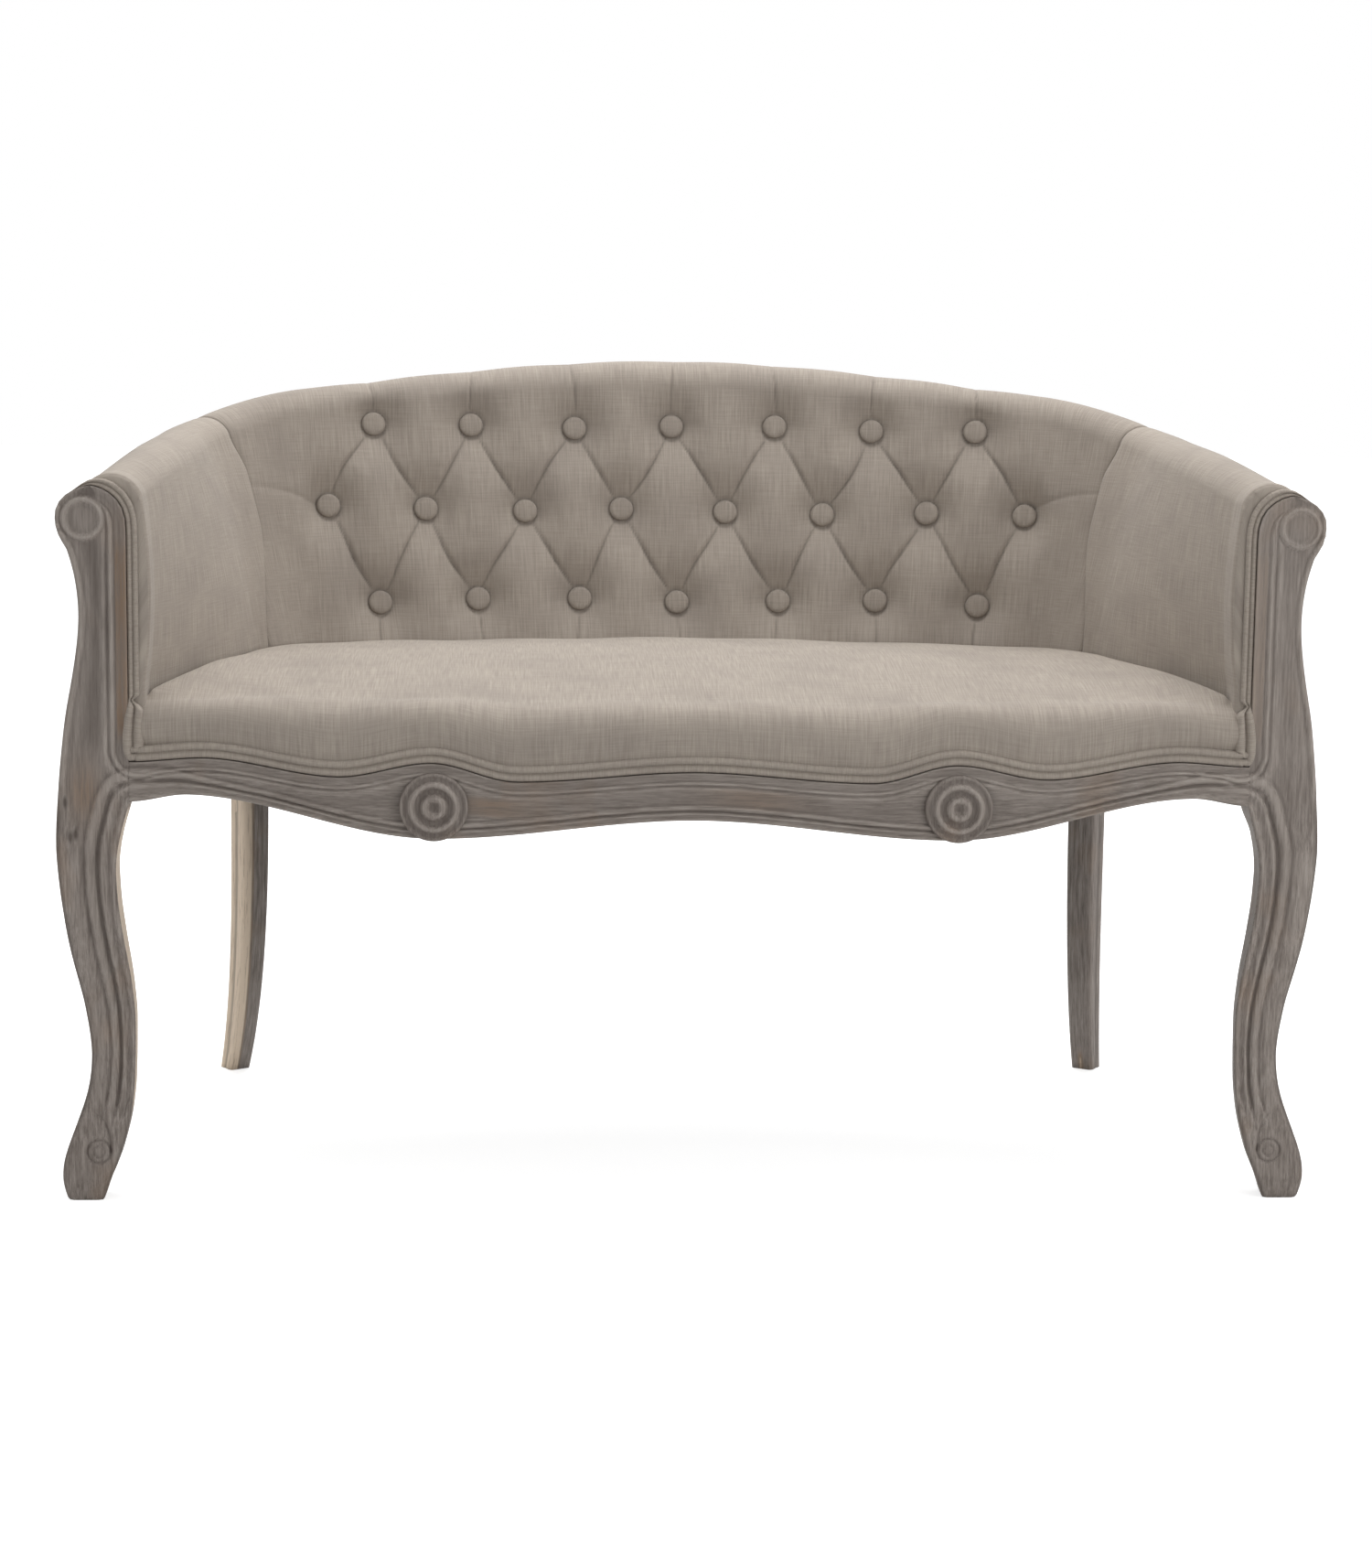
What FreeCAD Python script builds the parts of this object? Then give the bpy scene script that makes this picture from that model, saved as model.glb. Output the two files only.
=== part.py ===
import FreeCAD
import Part

import math
import os

import Sketcher

Vector = FreeCAD.Vector

# Driving sizes of the sofa, in millimetres, degrees and counts: name, value, what it is.
# X is to the sitter's left as seen from the front, -Y is the front, Z is up, floor at 0.
SIZES = [
    # Plan of the frame: a horseshoe of one back arc, two corner arcs and two straight arms
    ("leg_front_y", -281, "front face of the front legs"),
    ("joint_x", 554, "joint between front rail and leg, from the middle"),
    ("arm_width", 43, "outer face of the arm beyond that joint"),
    ("frame_depth", 550, "from the legs' front face to the back rail's outer face"),
    ("back_radius", 1800, "plan radius of the back rail's outer face"),
    ("corner_radius", 190, "plan radius of the corners' outer face"),
    ("arm_angle", 83, "direction of the arms, 90 is straight to the front"),
    ("clearance", 0.3, "gap between soft parts and their neighbours"),
    # Base rails
    ("rail_height", 45, "height of the side and back rails"),
    ("rail_top", 440, "top of the side and back rails' outer lip"),
    ("rail_thickness", 30, "thickness of the side and back rails"),
    ("ledge_drop", 16, "ledge that carries the webbing, under the rails' top"),
    ("lip_thickness", 10, "thickness of the lip outside the ledge"),
    # Front rail, a serpentine apron bowed to the front
    ("front_bow", 30, "bow of the front rail beyond the legs"),
    ("front_rail_depth", 24, "depth of the front rail at its ends"),
    ("apron_middle_drop", 49, "lower edge at the middle, under the rails' top"),
    ("apron_dip_drop", 69, "lower edge under the rosettes"),
    ("apron_rise_drop", 29, "lower edge at its highest"),
    ("apron_rise_in", 57, "that highest point, inside the leg's joint"),
    ("apron_end_drop", 37, "lower edge at the leg"),
    ("top_middle_drop", 2, "upper edge at the middle, under the rails' top"),
    ("top_dip_drop", 12.5, "upper edge at the inner dips"),
    ("top_dip_in", 83, "inner dips, inside the rosettes"),
    ("top_hump_rise", 5, "upper edge over the rosettes, over the rails' top"),
    ("top_saddle_drop", 9.5, "upper edge at the outer dips"),
    ("top_saddle_out", 91, "outer dips, outside the rosettes"),
    ("top_crest_rise", 7, "upper edge at its outer highest"),
    ("top_crest_in", 74, "that highest point, inside the leg's joint"),
    ("top_end_rise", 2, "upper edge at the leg"),
    ("rosette_x", 258, "rosettes, from the middle"),
    ("rosette_drop", 36, "middle of the rosettes, under the rails' top"),
    ("rosette_radius", 36, "outer radius of a rosette"),
    ("rosette_thickness", 7, "thickness of a rosette's disc"),
    ("rosette_ring", 25, "radius of the rosette's raised ring"),
    ("rosette_ring_wire", 3, "half thickness of that ring"),
    ("rosette_boss", 12, "radius of the rosette's boss"),
    # Front legs, each one piece with the arm post above it
    ("post_depth", 46, "depth of the front leg and post"),
    ("foot_out", 71.5, "outer edge of the foot beyond the joint"),
    ("foot_out_z", 22, "height of that edge"),
    ("sole_width", 35, "width of the foot's sole"),
    ("sole_inset", 6.5, "sole's outer edge inside the foot's"),
    ("ankle_z", 148, "height of the ankle"),
    ("ankle_out", 41, "outer edge of the ankle beyond the joint"),
    ("ankle_width", 43, "width of the ankle"),
    ("ankle_setback", 13, "ankle's front behind the leg's front face"),
    ("knee_drop", 84, "height of the knee under the rails' top"),
    ("knee_out", 72, "outer edge of the knee beyond the joint"),
    ("knee_width", 60, "width of the knee"),
    ("knee_proud", 3, "knee's front before the leg's front face"),
    ("waist_rise", 150, "height of the post's waist over the rails' top"),
    ("waist_out", 46, "outer edge of the waist beyond the joint"),
    ("scroll_rise", 239, "centre of the arm scroll over the rails' top"),
    ("scroll_radius", 28.5, "radius of the arm scroll"),
    ("scroll_join", 50, "angle under the scroll where the post runs in"),
    ("scroll_ring", 20, "radius of the ring on the scroll"),
    ("scroll_ring_wire", 1.6, "half thickness of that ring"),
    ("shoulder_drop", 36, "height of the post's round inner shoulder"),
    # Rear legs, sabre legs that run up as back posts
    ("rear_angle", 35, "direction in which a rear leg faces"),
    ("rear_leg_size", 33, "thickness and width of a rear leg"),
    ("rear_leg_proud", 2, "rear leg's outer face beyond the rail"),
    ("rear_post_inset", 4.2, "back post's outer face inside the rail's"),
    ("rear_knee_drop", 55, "where the sabre curve starts, under the rails' top"),
    ("rear_foot_in", 54.5, "centre of the rear foot, inside the front joint"),
    ("rear_foot_back", 23, "centre of the rear foot, behind the back rail's face"),
    # Wall profile at five stations from the middle of the back to the arm post
    ("rise_middle", 117.5, "top of the back at the middle, over the arm scroll"),
    ("rise_shoulder", 83.5, "the same where the corner starts"),
    ("rise_seam", 50.5, "the same at the corner seam"),
    ("rise_arm", 34.5, "the same half way along the arm"),
    ("rise_post", 16.5, "the same at the post"),
    ("low_middle", 125, "seat face of the back, inside the rail's outer face"),
    ("low_shoulder", 119, "the same where the corner starts"),
    ("low_seam", 116, "the same at the corner seam"),
    ("low_arm", 84, "the same half way along the arm"),
    ("high_middle", 30, "inner edge of the top roll at the middle"),
    ("high_shoulder", 42, "the same where the corner starts"),
    ("high_seam", 54, "the same at the corner seam"),
    ("high_arm", 60, "the same half way along the arm"),
    ("high_post_in", 1.5, "inner edge of the top roll at the post, outside the pad's face"),
    ("lean_middle", 45, "outward lean of the wall's outer face at the middle"),
    ("lean_shoulder", 28, "the same where the corner starts"),
    ("lean_seam", 10, "the same at the corner seam"),
    ("lean_arm", 2, "the same half way along the arm"),
    ("seam_angle", 66, "direction of the seam between back and arm"),
    ("roll_ratio", 0.36, "height of the top roll over its width"),
    ("pad_foot_rise", 20, "lower end of the back and arm pads, over the rails' top"),
    ("seat_line_rise", 80, "where the pads' faces start to lean back"),
    ("pad_bend_rise", 52, "up to where the seat stands against the pads"),
    ("cover_thickness", 3, "cover with its wadding"),
    ("pad_belly", 7, "fullness of the arm pads"),
    ("panel_thickness", 2.5, "outside covers"),
    # Tufting
    ("button_pitch", 56, "half the distance between buttons of a row"),
    ("row_pitch", 92, "height between two rows of buttons"),
    ("row_gap", 6.9, "upper buttons' seats under the top roll, at the row's ends"),
    ("button_radius", 13, "radius of a covered button"),
    ("button_height", 6, "height of a covered button"),
    ("tuft_depth", 20, "buttons' seats under the pad's face"),
    ("pleat_depth", 12, "pleats half way between two buttons"),
    ("crease_depth", 7, "vertical pleats under the pad's face"),
    # Hidden frame of back and arms
    ("top_pad", 22, "foam before the top rail"),
    ("top_rail_height", 34, "height of the top rails"),
    ("tuck_rise", 30, "underside of the tuck rails, over the rails' top"),
    ("tuck_height", 30, "height of the tuck rails"),
    ("upright_x", 172, "uprights of the back, from the middle"),
    ("upright_width", 30, "width of an upright"),
    ("inner_set", 4, "hidden rails inside the rail's outer face"),
    # Seat
    ("seat_crown_rise", 87, "top of the seat at its middle, over the rails' top"),
    ("seat_fall", 24, "fall of that top towards the arms"),
    ("seat_front_rise", 60, "the seat's rounded front edge"),
    ("seat_front_depth", 34, "depth of that rounded edge"),
    ("seat_back_depth", 30, "depth of the rounded back edge"),
    ("hem_gap", 3, "hem of the seat cover above the front rail's edge"),
    ("seat_bulge", 4, "seat front before the line of its welt"),
    # Welts, two cords side by side
    ("welt_cord", 4, "radius of one cord of a welt"),
    ("welt_depth", 6, "depth of a welt"),
    ("welt_setback", 1, "welt's face behind the wood's face"),
    # Webbing, brace, blocks, fixings
    ("web_thickness", 1.2, "thickness of the webbing"),
    ("web_width", 60, "width of a webbing strip"),
    ("web_pitch", 115, "seat webbing, front to back strips"),
    ("cross_pitch", 100, "seat webbing, cross strips"),
    ("brace_width", 30, "width of the seat brace"),
    ("brace_height", 28, "height of the seat brace"),
    ("block_reach", 72, "length of a corner block along a rail"),
    ("block_height", 16, "height of the corner blocks"),
    ("dowel_radius", 3, "radius of a dowel"),
    ("dowel_length", 30, "length of a dowel"),
    ("dowel_gap", 0.15, "dowel hole beyond the dowel"),
    ("screw_radius", 2, "radius of a block screw"),
    ("screw_length", 28, "length of a block screw"),
    ("screw_bite", 14, "length of a screw in the rail"),
    ("screw_head", 4, "radius of the screw's head"),
    ("screw_head_height", 2.5, "height of the screw's head"),
    ("dust_thickness", 1, "thickness of the dust cover"),
]

doc = FreeCAD.newDocument("tufted_sofa")
sheet = doc.addObject("Spreadsheet::Sheet", "sizes")
for row, (alias, value, note) in enumerate(SIZES, start=1):
    sheet.set("A%d" % row, alias)
    sheet.set("B%d" % row, str(value))
    sheet.set("C%d" % row, note)
    sheet.setAlias("B%d" % row, alias)
doc.recompute()


def cell(alias):
    """Value of one cell of the sheet."""
    return float(sheet.get(alias))


# Levels and places that follow from the cells
FOLLOWS = {
    "arm_outer_x": lambda: cell("joint_x") + cell("arm_width"),
    "back_outer_y": lambda: cell("leg_front_y") + cell("frame_depth"),
    "rail_bottom": lambda: cell("rail_top") - cell("rail_height"),
    "ledge_height": lambda: cell("rail_top") - cell("ledge_drop"),
    "apron_middle": lambda: cell("rail_top") - cell("apron_middle_drop"),
    "apron_dip": lambda: cell("rail_top") - cell("apron_dip_drop"),
    "apron_rise": lambda: cell("rail_top") - cell("apron_rise_drop"),
    "apron_rise_x": lambda: cell("joint_x") - cell("apron_rise_in"),
    "apron_end": lambda: cell("rail_top") - cell("apron_end_drop"),
    "top_middle": lambda: cell("rail_top") - cell("top_middle_drop"),
    "top_dip": lambda: cell("rail_top") - cell("top_dip_drop"),
    "top_dip_x": lambda: cell("rosette_x") - cell("top_dip_in"),
    "top_hump": lambda: cell("rail_top") + cell("top_hump_rise"),
    "top_saddle": lambda: cell("rail_top") - cell("top_saddle_drop"),
    "top_saddle_x": lambda: cell("rosette_x") + cell("top_saddle_out"),
    "top_rise": lambda: cell("rail_top") + cell("top_crest_rise"),
    "top_rise_x": lambda: cell("joint_x") - cell("top_crest_in"),
    "top_end": lambda: cell("rail_top") + cell("top_end_rise"),
    "rosette_z": lambda: cell("rail_top") - cell("rosette_drop"),
    "foot_out_x": lambda: cell("joint_x") + cell("foot_out"),
    "sole_outer_x": lambda: size("foot_out_x") - cell("sole_inset"),
    "foot_inner_x": lambda: size("sole_outer_x") - cell("sole_width"),
    "ankle_out_x": lambda: cell("joint_x") + cell("ankle_out"),
    "ankle_in_x": lambda: size("ankle_out_x") - cell("ankle_width"),
    "knee_z": lambda: cell("rail_top") - cell("knee_drop"),
    "knee_out_x": lambda: cell("joint_x") + cell("knee_out"),
    "knee_in_x": lambda: size("knee_out_x") - cell("knee_width"),
    "waist_z": lambda: cell("rail_top") + cell("waist_rise"),
    "waist_out_x": lambda: cell("joint_x") + cell("waist_out"),
    "scroll_x": lambda: size("arm_outer_x"),
    "scroll_z": lambda: cell("rail_top") + cell("scroll_rise"),
    "crest_z": lambda: size("scroll_z") + cell("scroll_radius"),
    "rear_knee_z": lambda: cell("rail_top") - cell("rear_knee_drop"),
    "rear_foot_x": lambda: cell("joint_x") - cell("rear_foot_in"),
    "rear_foot_y": lambda: size("back_outer_y") + cell("rear_foot_back"),
    "top_z_middle": lambda: size("crest_z") + cell("rise_middle"),
    "top_z_shoulder": lambda: size("crest_z") + cell("rise_shoulder"),
    "top_z_seam": lambda: size("crest_z") + cell("rise_seam"),
    "top_z_arm": lambda: size("crest_z") + cell("rise_arm"),
    "top_z_post": lambda: size("crest_z") + cell("rise_post"),
    "low_post": lambda: cell("arm_width") + 4 * cell("welt_cord") + 2 * cell("clearance"),
    "high_post": lambda: size("low_post") - cell("high_post_in"),
    "pad_foot_z": lambda: cell("rail_top") + cell("pad_foot_rise"),
    "seat_line_z": lambda: cell("rail_top") + cell("seat_line_rise"),
    "pad_bend_z": lambda: cell("rail_top") + cell("pad_bend_rise"),
    "row_high_z": lambda: row_high(),
    "row_middle_z": lambda: row_high() - cell("row_pitch"),
    "row_low_z": lambda: row_high() - 2 * cell("row_pitch"),
    "tuck_bottom": lambda: cell("rail_top") + cell("tuck_rise"),
    "seat_crown": lambda: cell("rail_top") + cell("seat_crown_rise"),
    "seat_front_z": lambda: cell("rail_top") + cell("seat_front_rise"),
    "block_bottom": lambda: size("ledge_height") - cell("block_height"),
}


def size(alias):
    """Value of a cell of the sheet or of a level or place that follows from the cells."""
    if alias in FOLLOWS:
        return FOLLOWS[alias]()
    return cell(alias)


CLEAR = size("clearance")
FRONT_Y = size("leg_front_y")
POST_BACK_Y = FRONT_Y + size("post_depth")
JOINT_X = size("joint_x")
RIGHT, LEFT = 1, -1
nodes = []


# Helpers for shapes

def arc(first, middle, last):
    """Edge of a circle through three points."""
    return Part.Arc(first, middle, last).toShape()


def line(first, last):
    """Straight edge."""
    return Part.LineSegment(first, last).toShape()


def polygon(points):
    """Closed wire through points."""
    return Part.makePolygon(points + [points[0]])


def prism(points, direction):
    """Solid made by moving a flat polygon along a direction."""
    return Part.Face(polygon(points)).extrude(direction)


def ruled(wires):
    """Solid through closed wires, straight from each to the next."""
    solid = Part.makeLoft(wires, True, True)
    if solid.Volume < 0:
        solid.reverse()
    return solid


def mirrored(shape):
    """The same shape on the other side of the sofa."""
    return shape.mirror(Vector(0, 0, 0), Vector(1, 0, 0))


def sided(shape, side):
    """The shape itself on the right, its mirror image on the left."""
    return shape if side == RIGHT else mirrored(shape)


def feature(name, shape):
    """A document object that holds a computed shape under the node's name."""
    item = doc.addObject("Part::Feature", name)
    item.Label = name
    item.Shape = shape
    item.Placement = FreeCAD.Placement()
    nodes.append(item)
    return item


def bind(item, **expressions):
    """Bind properties of a document object to cells of the sheet."""
    for prop, expression in expressions.items():
        item.setExpression(prop.replace("__", "."), expression)


def wave(keys, x):
    """Height of a serpentine edge at x: level at each key point, smooth between."""
    x = abs(x)
    for (x0, z0), (x1, z1) in zip(keys, keys[1:]):
        if x <= x1:
            t = max(0.0, (x - x0) / (x1 - x0))
            return z0 + (z1 - z0) * t * t * (3 - 2 * t)
    return keys[-1][1]


def swing(first, last, along):
    """Curve from first to last that starts and ends along one axis, as a cubic."""
    reach = last - first
    pull = Vector(*(reach[i] * along[i] / 3 for i in range(3)))
    curve = Part.BezierCurve()
    curve.setPoles([first, first + pull, last - pull, last])
    return curve.toShape()


def eased(stations, values, s):
    """Smooth value at s through the values at the stations, level at the middle."""
    count = len(stations)
    slopes = [0.0]
    for i in range(1, count - 1):
        slopes.append((values[i + 1] - values[i - 1]) / (stations[i + 1] - stations[i - 1]))
    slopes.append((values[-1] - values[-2]) / (stations[-1] - stations[-2]))
    for i in range(count - 1):
        if s <= stations[i + 1] or i == count - 2:
            span = stations[i + 1] - stations[i]
            t = (s - stations[i]) / span
            hold = (1 + 2 * t) * (1 - t) ** 2 * values[i] + t * t * (3 - 2 * t) * values[i + 1]
            turn = t * (1 - t) ** 2 * slopes[i] - t * t * (1 - t) * slopes[i + 1]
            return hold + span * turn


# Plan line of the frame's outer face, on the right half

class Plan:
    """Outer face of the base rails seen from above, followed from the middle of the back."""

    def __init__(self):
        self.back = size("back_radius")
        self.corner = size("corner_radius")
        self.turn = math.radians(size("arm_angle"))
        self.centre_y = size("back_outer_y") - self.back
        along = size("arm_outer_x") * math.sin(self.turn) + POST_BACK_Y * math.cos(self.turn)
        drop = along - self.corner - self.centre_y * math.cos(self.turn)
        self.start = self.turn - math.acos(drop / (self.back - self.corner))
        self.back_length = self.back * self.start
        self.corner_length = self.corner * (self.turn - self.start)
        self.corner_x = (self.back - self.corner) * math.sin(self.start)
        self.corner_y = self.centre_y + (self.back - self.corner) * math.cos(self.start)
        self.arm_x = self.corner_x + self.corner * math.sin(self.turn)
        self.arm_y = self.corner_y + self.corner * math.cos(self.turn)
        self.arm_start = self.back_length + self.corner_length
        self.arm_length = (self.arm_y - POST_BACK_Y) / math.sin(self.turn)
        self.total = self.arm_start + self.arm_length

    def at(self, s):
        """Point and outward direction at the distance s along the line, s below 0 on the left."""
        side = 1 if s >= 0 else -1
        s = abs(s)
        if s <= self.back_length:
            angle = s / self.back
            x = self.back * math.sin(angle)
            y = self.centre_y + self.back * math.cos(angle)
        elif s <= self.arm_start:
            angle = self.start + (s - self.back_length) / self.corner
            x = self.corner_x + self.corner * math.sin(angle)
            y = self.corner_y + self.corner * math.cos(angle)
        else:
            angle = self.turn
            x = self.arm_x + (s - self.arm_start) * math.cos(angle)
            y = self.arm_y - (s - self.arm_start) * math.sin(angle)
        return side * x, y, side * math.sin(angle), math.cos(angle)

    def at_angle(self, degrees):
        """Distance along the line where a corner arc faces that way."""
        return self.back_length + self.corner * (math.radians(degrees) - self.start)

    def place(self, s, inside, z):
        """Point at the distance s, that far inside the outer face, at the height z."""
        x, y, nx, ny = self.at(s)
        return Vector(x - inside * nx, y - inside * ny, z)

    def arm_outer(self, y):
        """Outer face of the arm at a given y."""
        return self.arm_x + (self.arm_y - y) / math.tan(self.turn)


plan = Plan()
SEAM = plan.at_angle(size("seam_angle"))
REAR = plan.at_angle(size("rear_angle"))
ARM_MID = plan.arm_start + plan.arm_length / 2
STATIONS = [0, plan.back_length, SEAM, ARM_MID, plan.total]
PLACES = ["middle", "shoulder", "seam", "arm", "post"]


def profile(kind, s):
    """One of the wall's profile values at the distance s."""
    values = []
    for place in PLACES:
        last_lean = kind == "lean" and place == "post"
        values.append(0.0 if last_lean else size(kind + "_" + place))
    return eased(STATIONS, values, abs(s))


def spaced(first, last):
    """Distances from first to last, close together where the plan turns sharply."""
    marks = [-plan.arm_start, -plan.back_length, plan.back_length, plan.arm_start]
    stops = [first] + [mark for mark in marks if first < mark < last] + [last]
    result = [first]
    for a, b in zip(stops, stops[1:]):
        middle = abs(a + b) / 2
        step = 45
        if plan.back_length < middle < plan.arm_start:
            step = 12
        elif middle >= plan.arm_start:
            step = 400
        count = max(1, math.ceil((b - a) / step))
        result += [a + (b - a) * i / count for i in range(1, count + 1)]
    return result


def band(first, last, near, far, z0, z1):
    """Solid between two offsets of the plan line, from the distance first to last."""
    cuts = [first, -plan.arm_start, -plan.back_length, plan.back_length, plan.arm_start, last]
    stops = [first] + sorted(c for c in cuts[1:-1] if first < c < last) + [last]
    edges = []
    for inside, order in ((near, 1), (far, -1)):
        spans = list(zip(stops, stops[1:]))[::order]
        for a, b in spans:
            a, b = (a, b) if order == 1 else (b, a)
            p, q = plan.place(a, inside, z0), plan.place(b, inside, z0)
            middle = plan.place((a + b) / 2, inside, z0)
            flat = min(abs(a), abs(b)) >= plan.arm_start - 1e-6
            edges.append(line(p, q) if flat else arc(p, middle, q))
    edges.insert(len(stops) - 1, line(plan.place(last, near, z0), plan.place(last, far, z0)))
    edges.append(line(plan.place(first, far, z0), plan.place(first, near, z0)))
    return Part.Face(Part.Wire(edges)).extrude(Vector(0, 0, z1 - z0))


# Front rail

APRON_LOW = [(0, size("apron_middle")), (size("rosette_x"), size("apron_dip")),
             (size("apron_rise_x"), size("apron_rise")), (JOINT_X, size("apron_end"))]
APRON_TOP = [(0, size("top_middle")), (size("top_dip_x"), size("top_dip")),
             (size("rosette_x"), size("top_hump")), (size("top_saddle_x"), size("top_saddle")),
             (size("top_rise_x"), size("top_rise")), (JOINT_X, size("top_end"))]
BOW_RADIUS = (JOINT_X ** 2 + size("front_bow") ** 2) / (2 * size("front_bow"))


def rail_front(x):
    """Front face of the bowed front rail at x."""
    bowed = math.sqrt(BOW_RADIUS ** 2 - x * x)
    return FRONT_Y - size("front_bow") + BOW_RADIUS - bowed


def wave_edges(keys, y):
    """Edges of a whole serpentine line at one y, from left to right."""
    right = [swing(Vector(x0, y, z0), Vector(x1, y, z1), (1, 0, 0))
             for (x0, z0), (x1, z1) in zip(keys, keys[1:])]
    left = [swing(Vector(-x1, y, z1), Vector(-x0, y, z0), (1, 0, 0))
            for (x0, z0), (x1, z1) in zip(keys, keys[1:])]
    return left[::-1] + right


def bowed_slab(inside, back_y, z0, z1):
    """Solid with the rail's bowed front, set back by inside, and a straight back."""
    left = Vector(-JOINT_X, rail_front(JOINT_X) + inside, z0)
    right = Vector(JOINT_X, rail_front(JOINT_X) + inside, z0)
    front = arc(left, Vector(0, rail_front(0) + inside, z0), right)
    corner_r = Vector(JOINT_X, back_y, z0)
    corner_l = Vector(-JOINT_X, back_y, z0)
    wire = Part.Wire([front, line(right, corner_r), line(corner_r, corner_l),
                      line(corner_l, left)])
    return Part.Face(wire).extrude(Vector(0, 0, z1 - z0))


def front_rail():
    """Serpentine apron: sawn outline, bowed front and a ledge for the webbing behind."""
    start = FRONT_Y - 2 * size("front_bow")
    back_y = FRONT_Y + size("front_rail_depth")
    low = wave_edges(APRON_LOW, start)
    high = wave_edges(APRON_TOP, start)
    ends = [line(Vector(side * JOINT_X, start, size("apron_end")),
                 Vector(side * JOINT_X, start, size("top_end"))) for side in (LEFT, RIGHT)]
    outline = Part.Wire(Part.__sortEdges__(low + high + ends))
    board = Part.Face(outline).extrude(Vector(0, back_y - start + 1, 0))
    floor, roof = size("apron_dip") - 5, size("top_rise") + 5
    body = board.common(bowed_slab(0, back_y, floor, roof))
    ledge = bowed_slab(size("lip_thickness"), back_y + 1, size("ledge_height"), roof)
    return body.cut(ledge)


# Front leg with arm post, on the right

def shoulder_curve(y, grow):
    """Round inner shoulder of the right post, from below to the scroll's top, grown outward."""
    drop = size("shoulder_drop")
    crest = size("crest_z") + grow
    inner = JOINT_X - grow
    curve = Part.BezierCurve()
    curve.setPoles([Vector(inner, y, crest - drop), Vector(inner, y, crest - drop * 0.22),
                    Vector(inner + drop * 0.45, y, crest), Vector(size("scroll_x"), y, crest)])
    return curve


def front_leg():
    """Cabriole leg and post as sawn from two sides: a front outline and a side outline."""
    y0 = FRONT_Y - 2 * size("knee_proud")
    end_y = POST_BACK_Y + 1
    sole_in = Vector(size("foot_inner_x"), y0, 0)
    sole_out = Vector(size("sole_outer_x"), y0, 0)
    foot = Vector(size("foot_out_x"), y0, size("foot_out_z"))
    ankle_out = Vector(size("ankle_out_x"), y0, size("ankle_z"))
    ankle_in = Vector(size("ankle_in_x"), y0, size("ankle_z"))
    knee_out = Vector(size("knee_out_x"), y0, size("knee_z"))
    knee_in = Vector(size("knee_in_x"), y0, size("knee_z") - size("foot_out_z"))
    waist = Vector(size("waist_out_x"), y0, size("waist_z"))
    radius = size("scroll_radius")
    centre = Vector(size("scroll_x"), y0, size("scroll_z"))

    def on_scroll(degrees):
        turn = math.radians(degrees)
        return centre + Vector(radius * math.cos(turn), 0, radius * math.sin(turn))

    join = on_scroll(-size("scroll_join"))
    crest = on_scroll(90)
    shoulder = shoulder_curve(y0, 0).StartPoint
    joint = Vector(JOINT_X, y0, size("apron_end") - CLEAR)
    up = (0, 0, 1)
    rise = sole_in + Vector((ankle_in.x - sole_in.x) * 0.55, 0, ankle_in.z * 0.27)
    settle = ankle_in - Vector(0, 0, ankle_in.z * 0.46)
    instep = Part.BezierCurve()
    instep.setPoles([sole_in, rise, settle, ankle_in])
    run_in = Part.BezierCurve()
    run_in.setPoles([waist, waist + Vector(0, 0, radius * 0.9),
                     join - Vector(radius * 0.28, 0, radius * 0.6), join])
    round_top = shoulder_curve(y0, 0)
    edges = [line(sole_in, sole_out), swing(sole_out, foot, up), swing(foot, ankle_out, up),
             swing(ankle_out, knee_out, up), swing(knee_out, waist, up), run_in.toShape(),
             arc(join, on_scroll(20), crest), round_top.toShape(), line(shoulder, joint),
             swing(joint, knee_in, up), swing(knee_in, ankle_in, up), instep.toShape()]
    front = Part.Face(Part.Wire(Part.__sortEdges__(edges)))
    board = front.extrude(Vector(0, end_y - y0, 0))

    x0 = size("ankle_in_x") - 10
    reach = size("foot_out_x") - x0 + 10
    top = crest.z + 1
    set_ankle = FRONT_Y + size("ankle_setback")
    heel = POST_BACK_Y - size("knee_proud")
    side = [Vector(x0, FRONT_Y + size("knee_proud"), 0),
            Vector(x0, FRONT_Y, size("foot_out_z")),
            Vector(x0, set_ankle, size("ankle_z")),
            Vector(x0, FRONT_Y - size("knee_proud"), size("knee_z")),
            Vector(x0, FRONT_Y, size("apron_end"))]
    back = [Vector(x0, POST_BACK_Y, size("rail_bottom") - 10),
            Vector(x0, heel, size("ankle_z")),
            Vector(x0, heel - size("knee_proud"), 0)]
    top_front, top_back = Vector(x0, FRONT_Y, top), Vector(x0, POST_BACK_Y, top)
    edges = [swing(a, b, up) for a, b in zip(side, side[1:])]
    edges += [line(side[-1], top_front), line(top_front, top_back), line(top_back, back[0])]
    edges += [swing(a, b, up) for a, b in zip(back, back[1:])]
    edges.append(line(back[-1], side[0]))
    depth = Part.Face(Part.Wire(Part.__sortEdges__(edges))).extrude(Vector(reach, 0, 0))
    leg = board.common(depth)
    ring = Part.makeTorus(size("scroll_ring"), size("scroll_ring_wire"),
                          Vector(centre.x, FRONT_Y, centre.z), Vector(0, 1, 0))
    return leg.fuse(ring)


# Rear leg with back post, on the right

def rear_frame():
    """Point on the rail's outer face, outward direction and sideways direction at a rear leg."""
    x, y, nx, ny = plan.at(REAR)
    return Vector(x, y, 0), Vector(nx, ny, 0), Vector(ny, -nx, 0)


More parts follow.
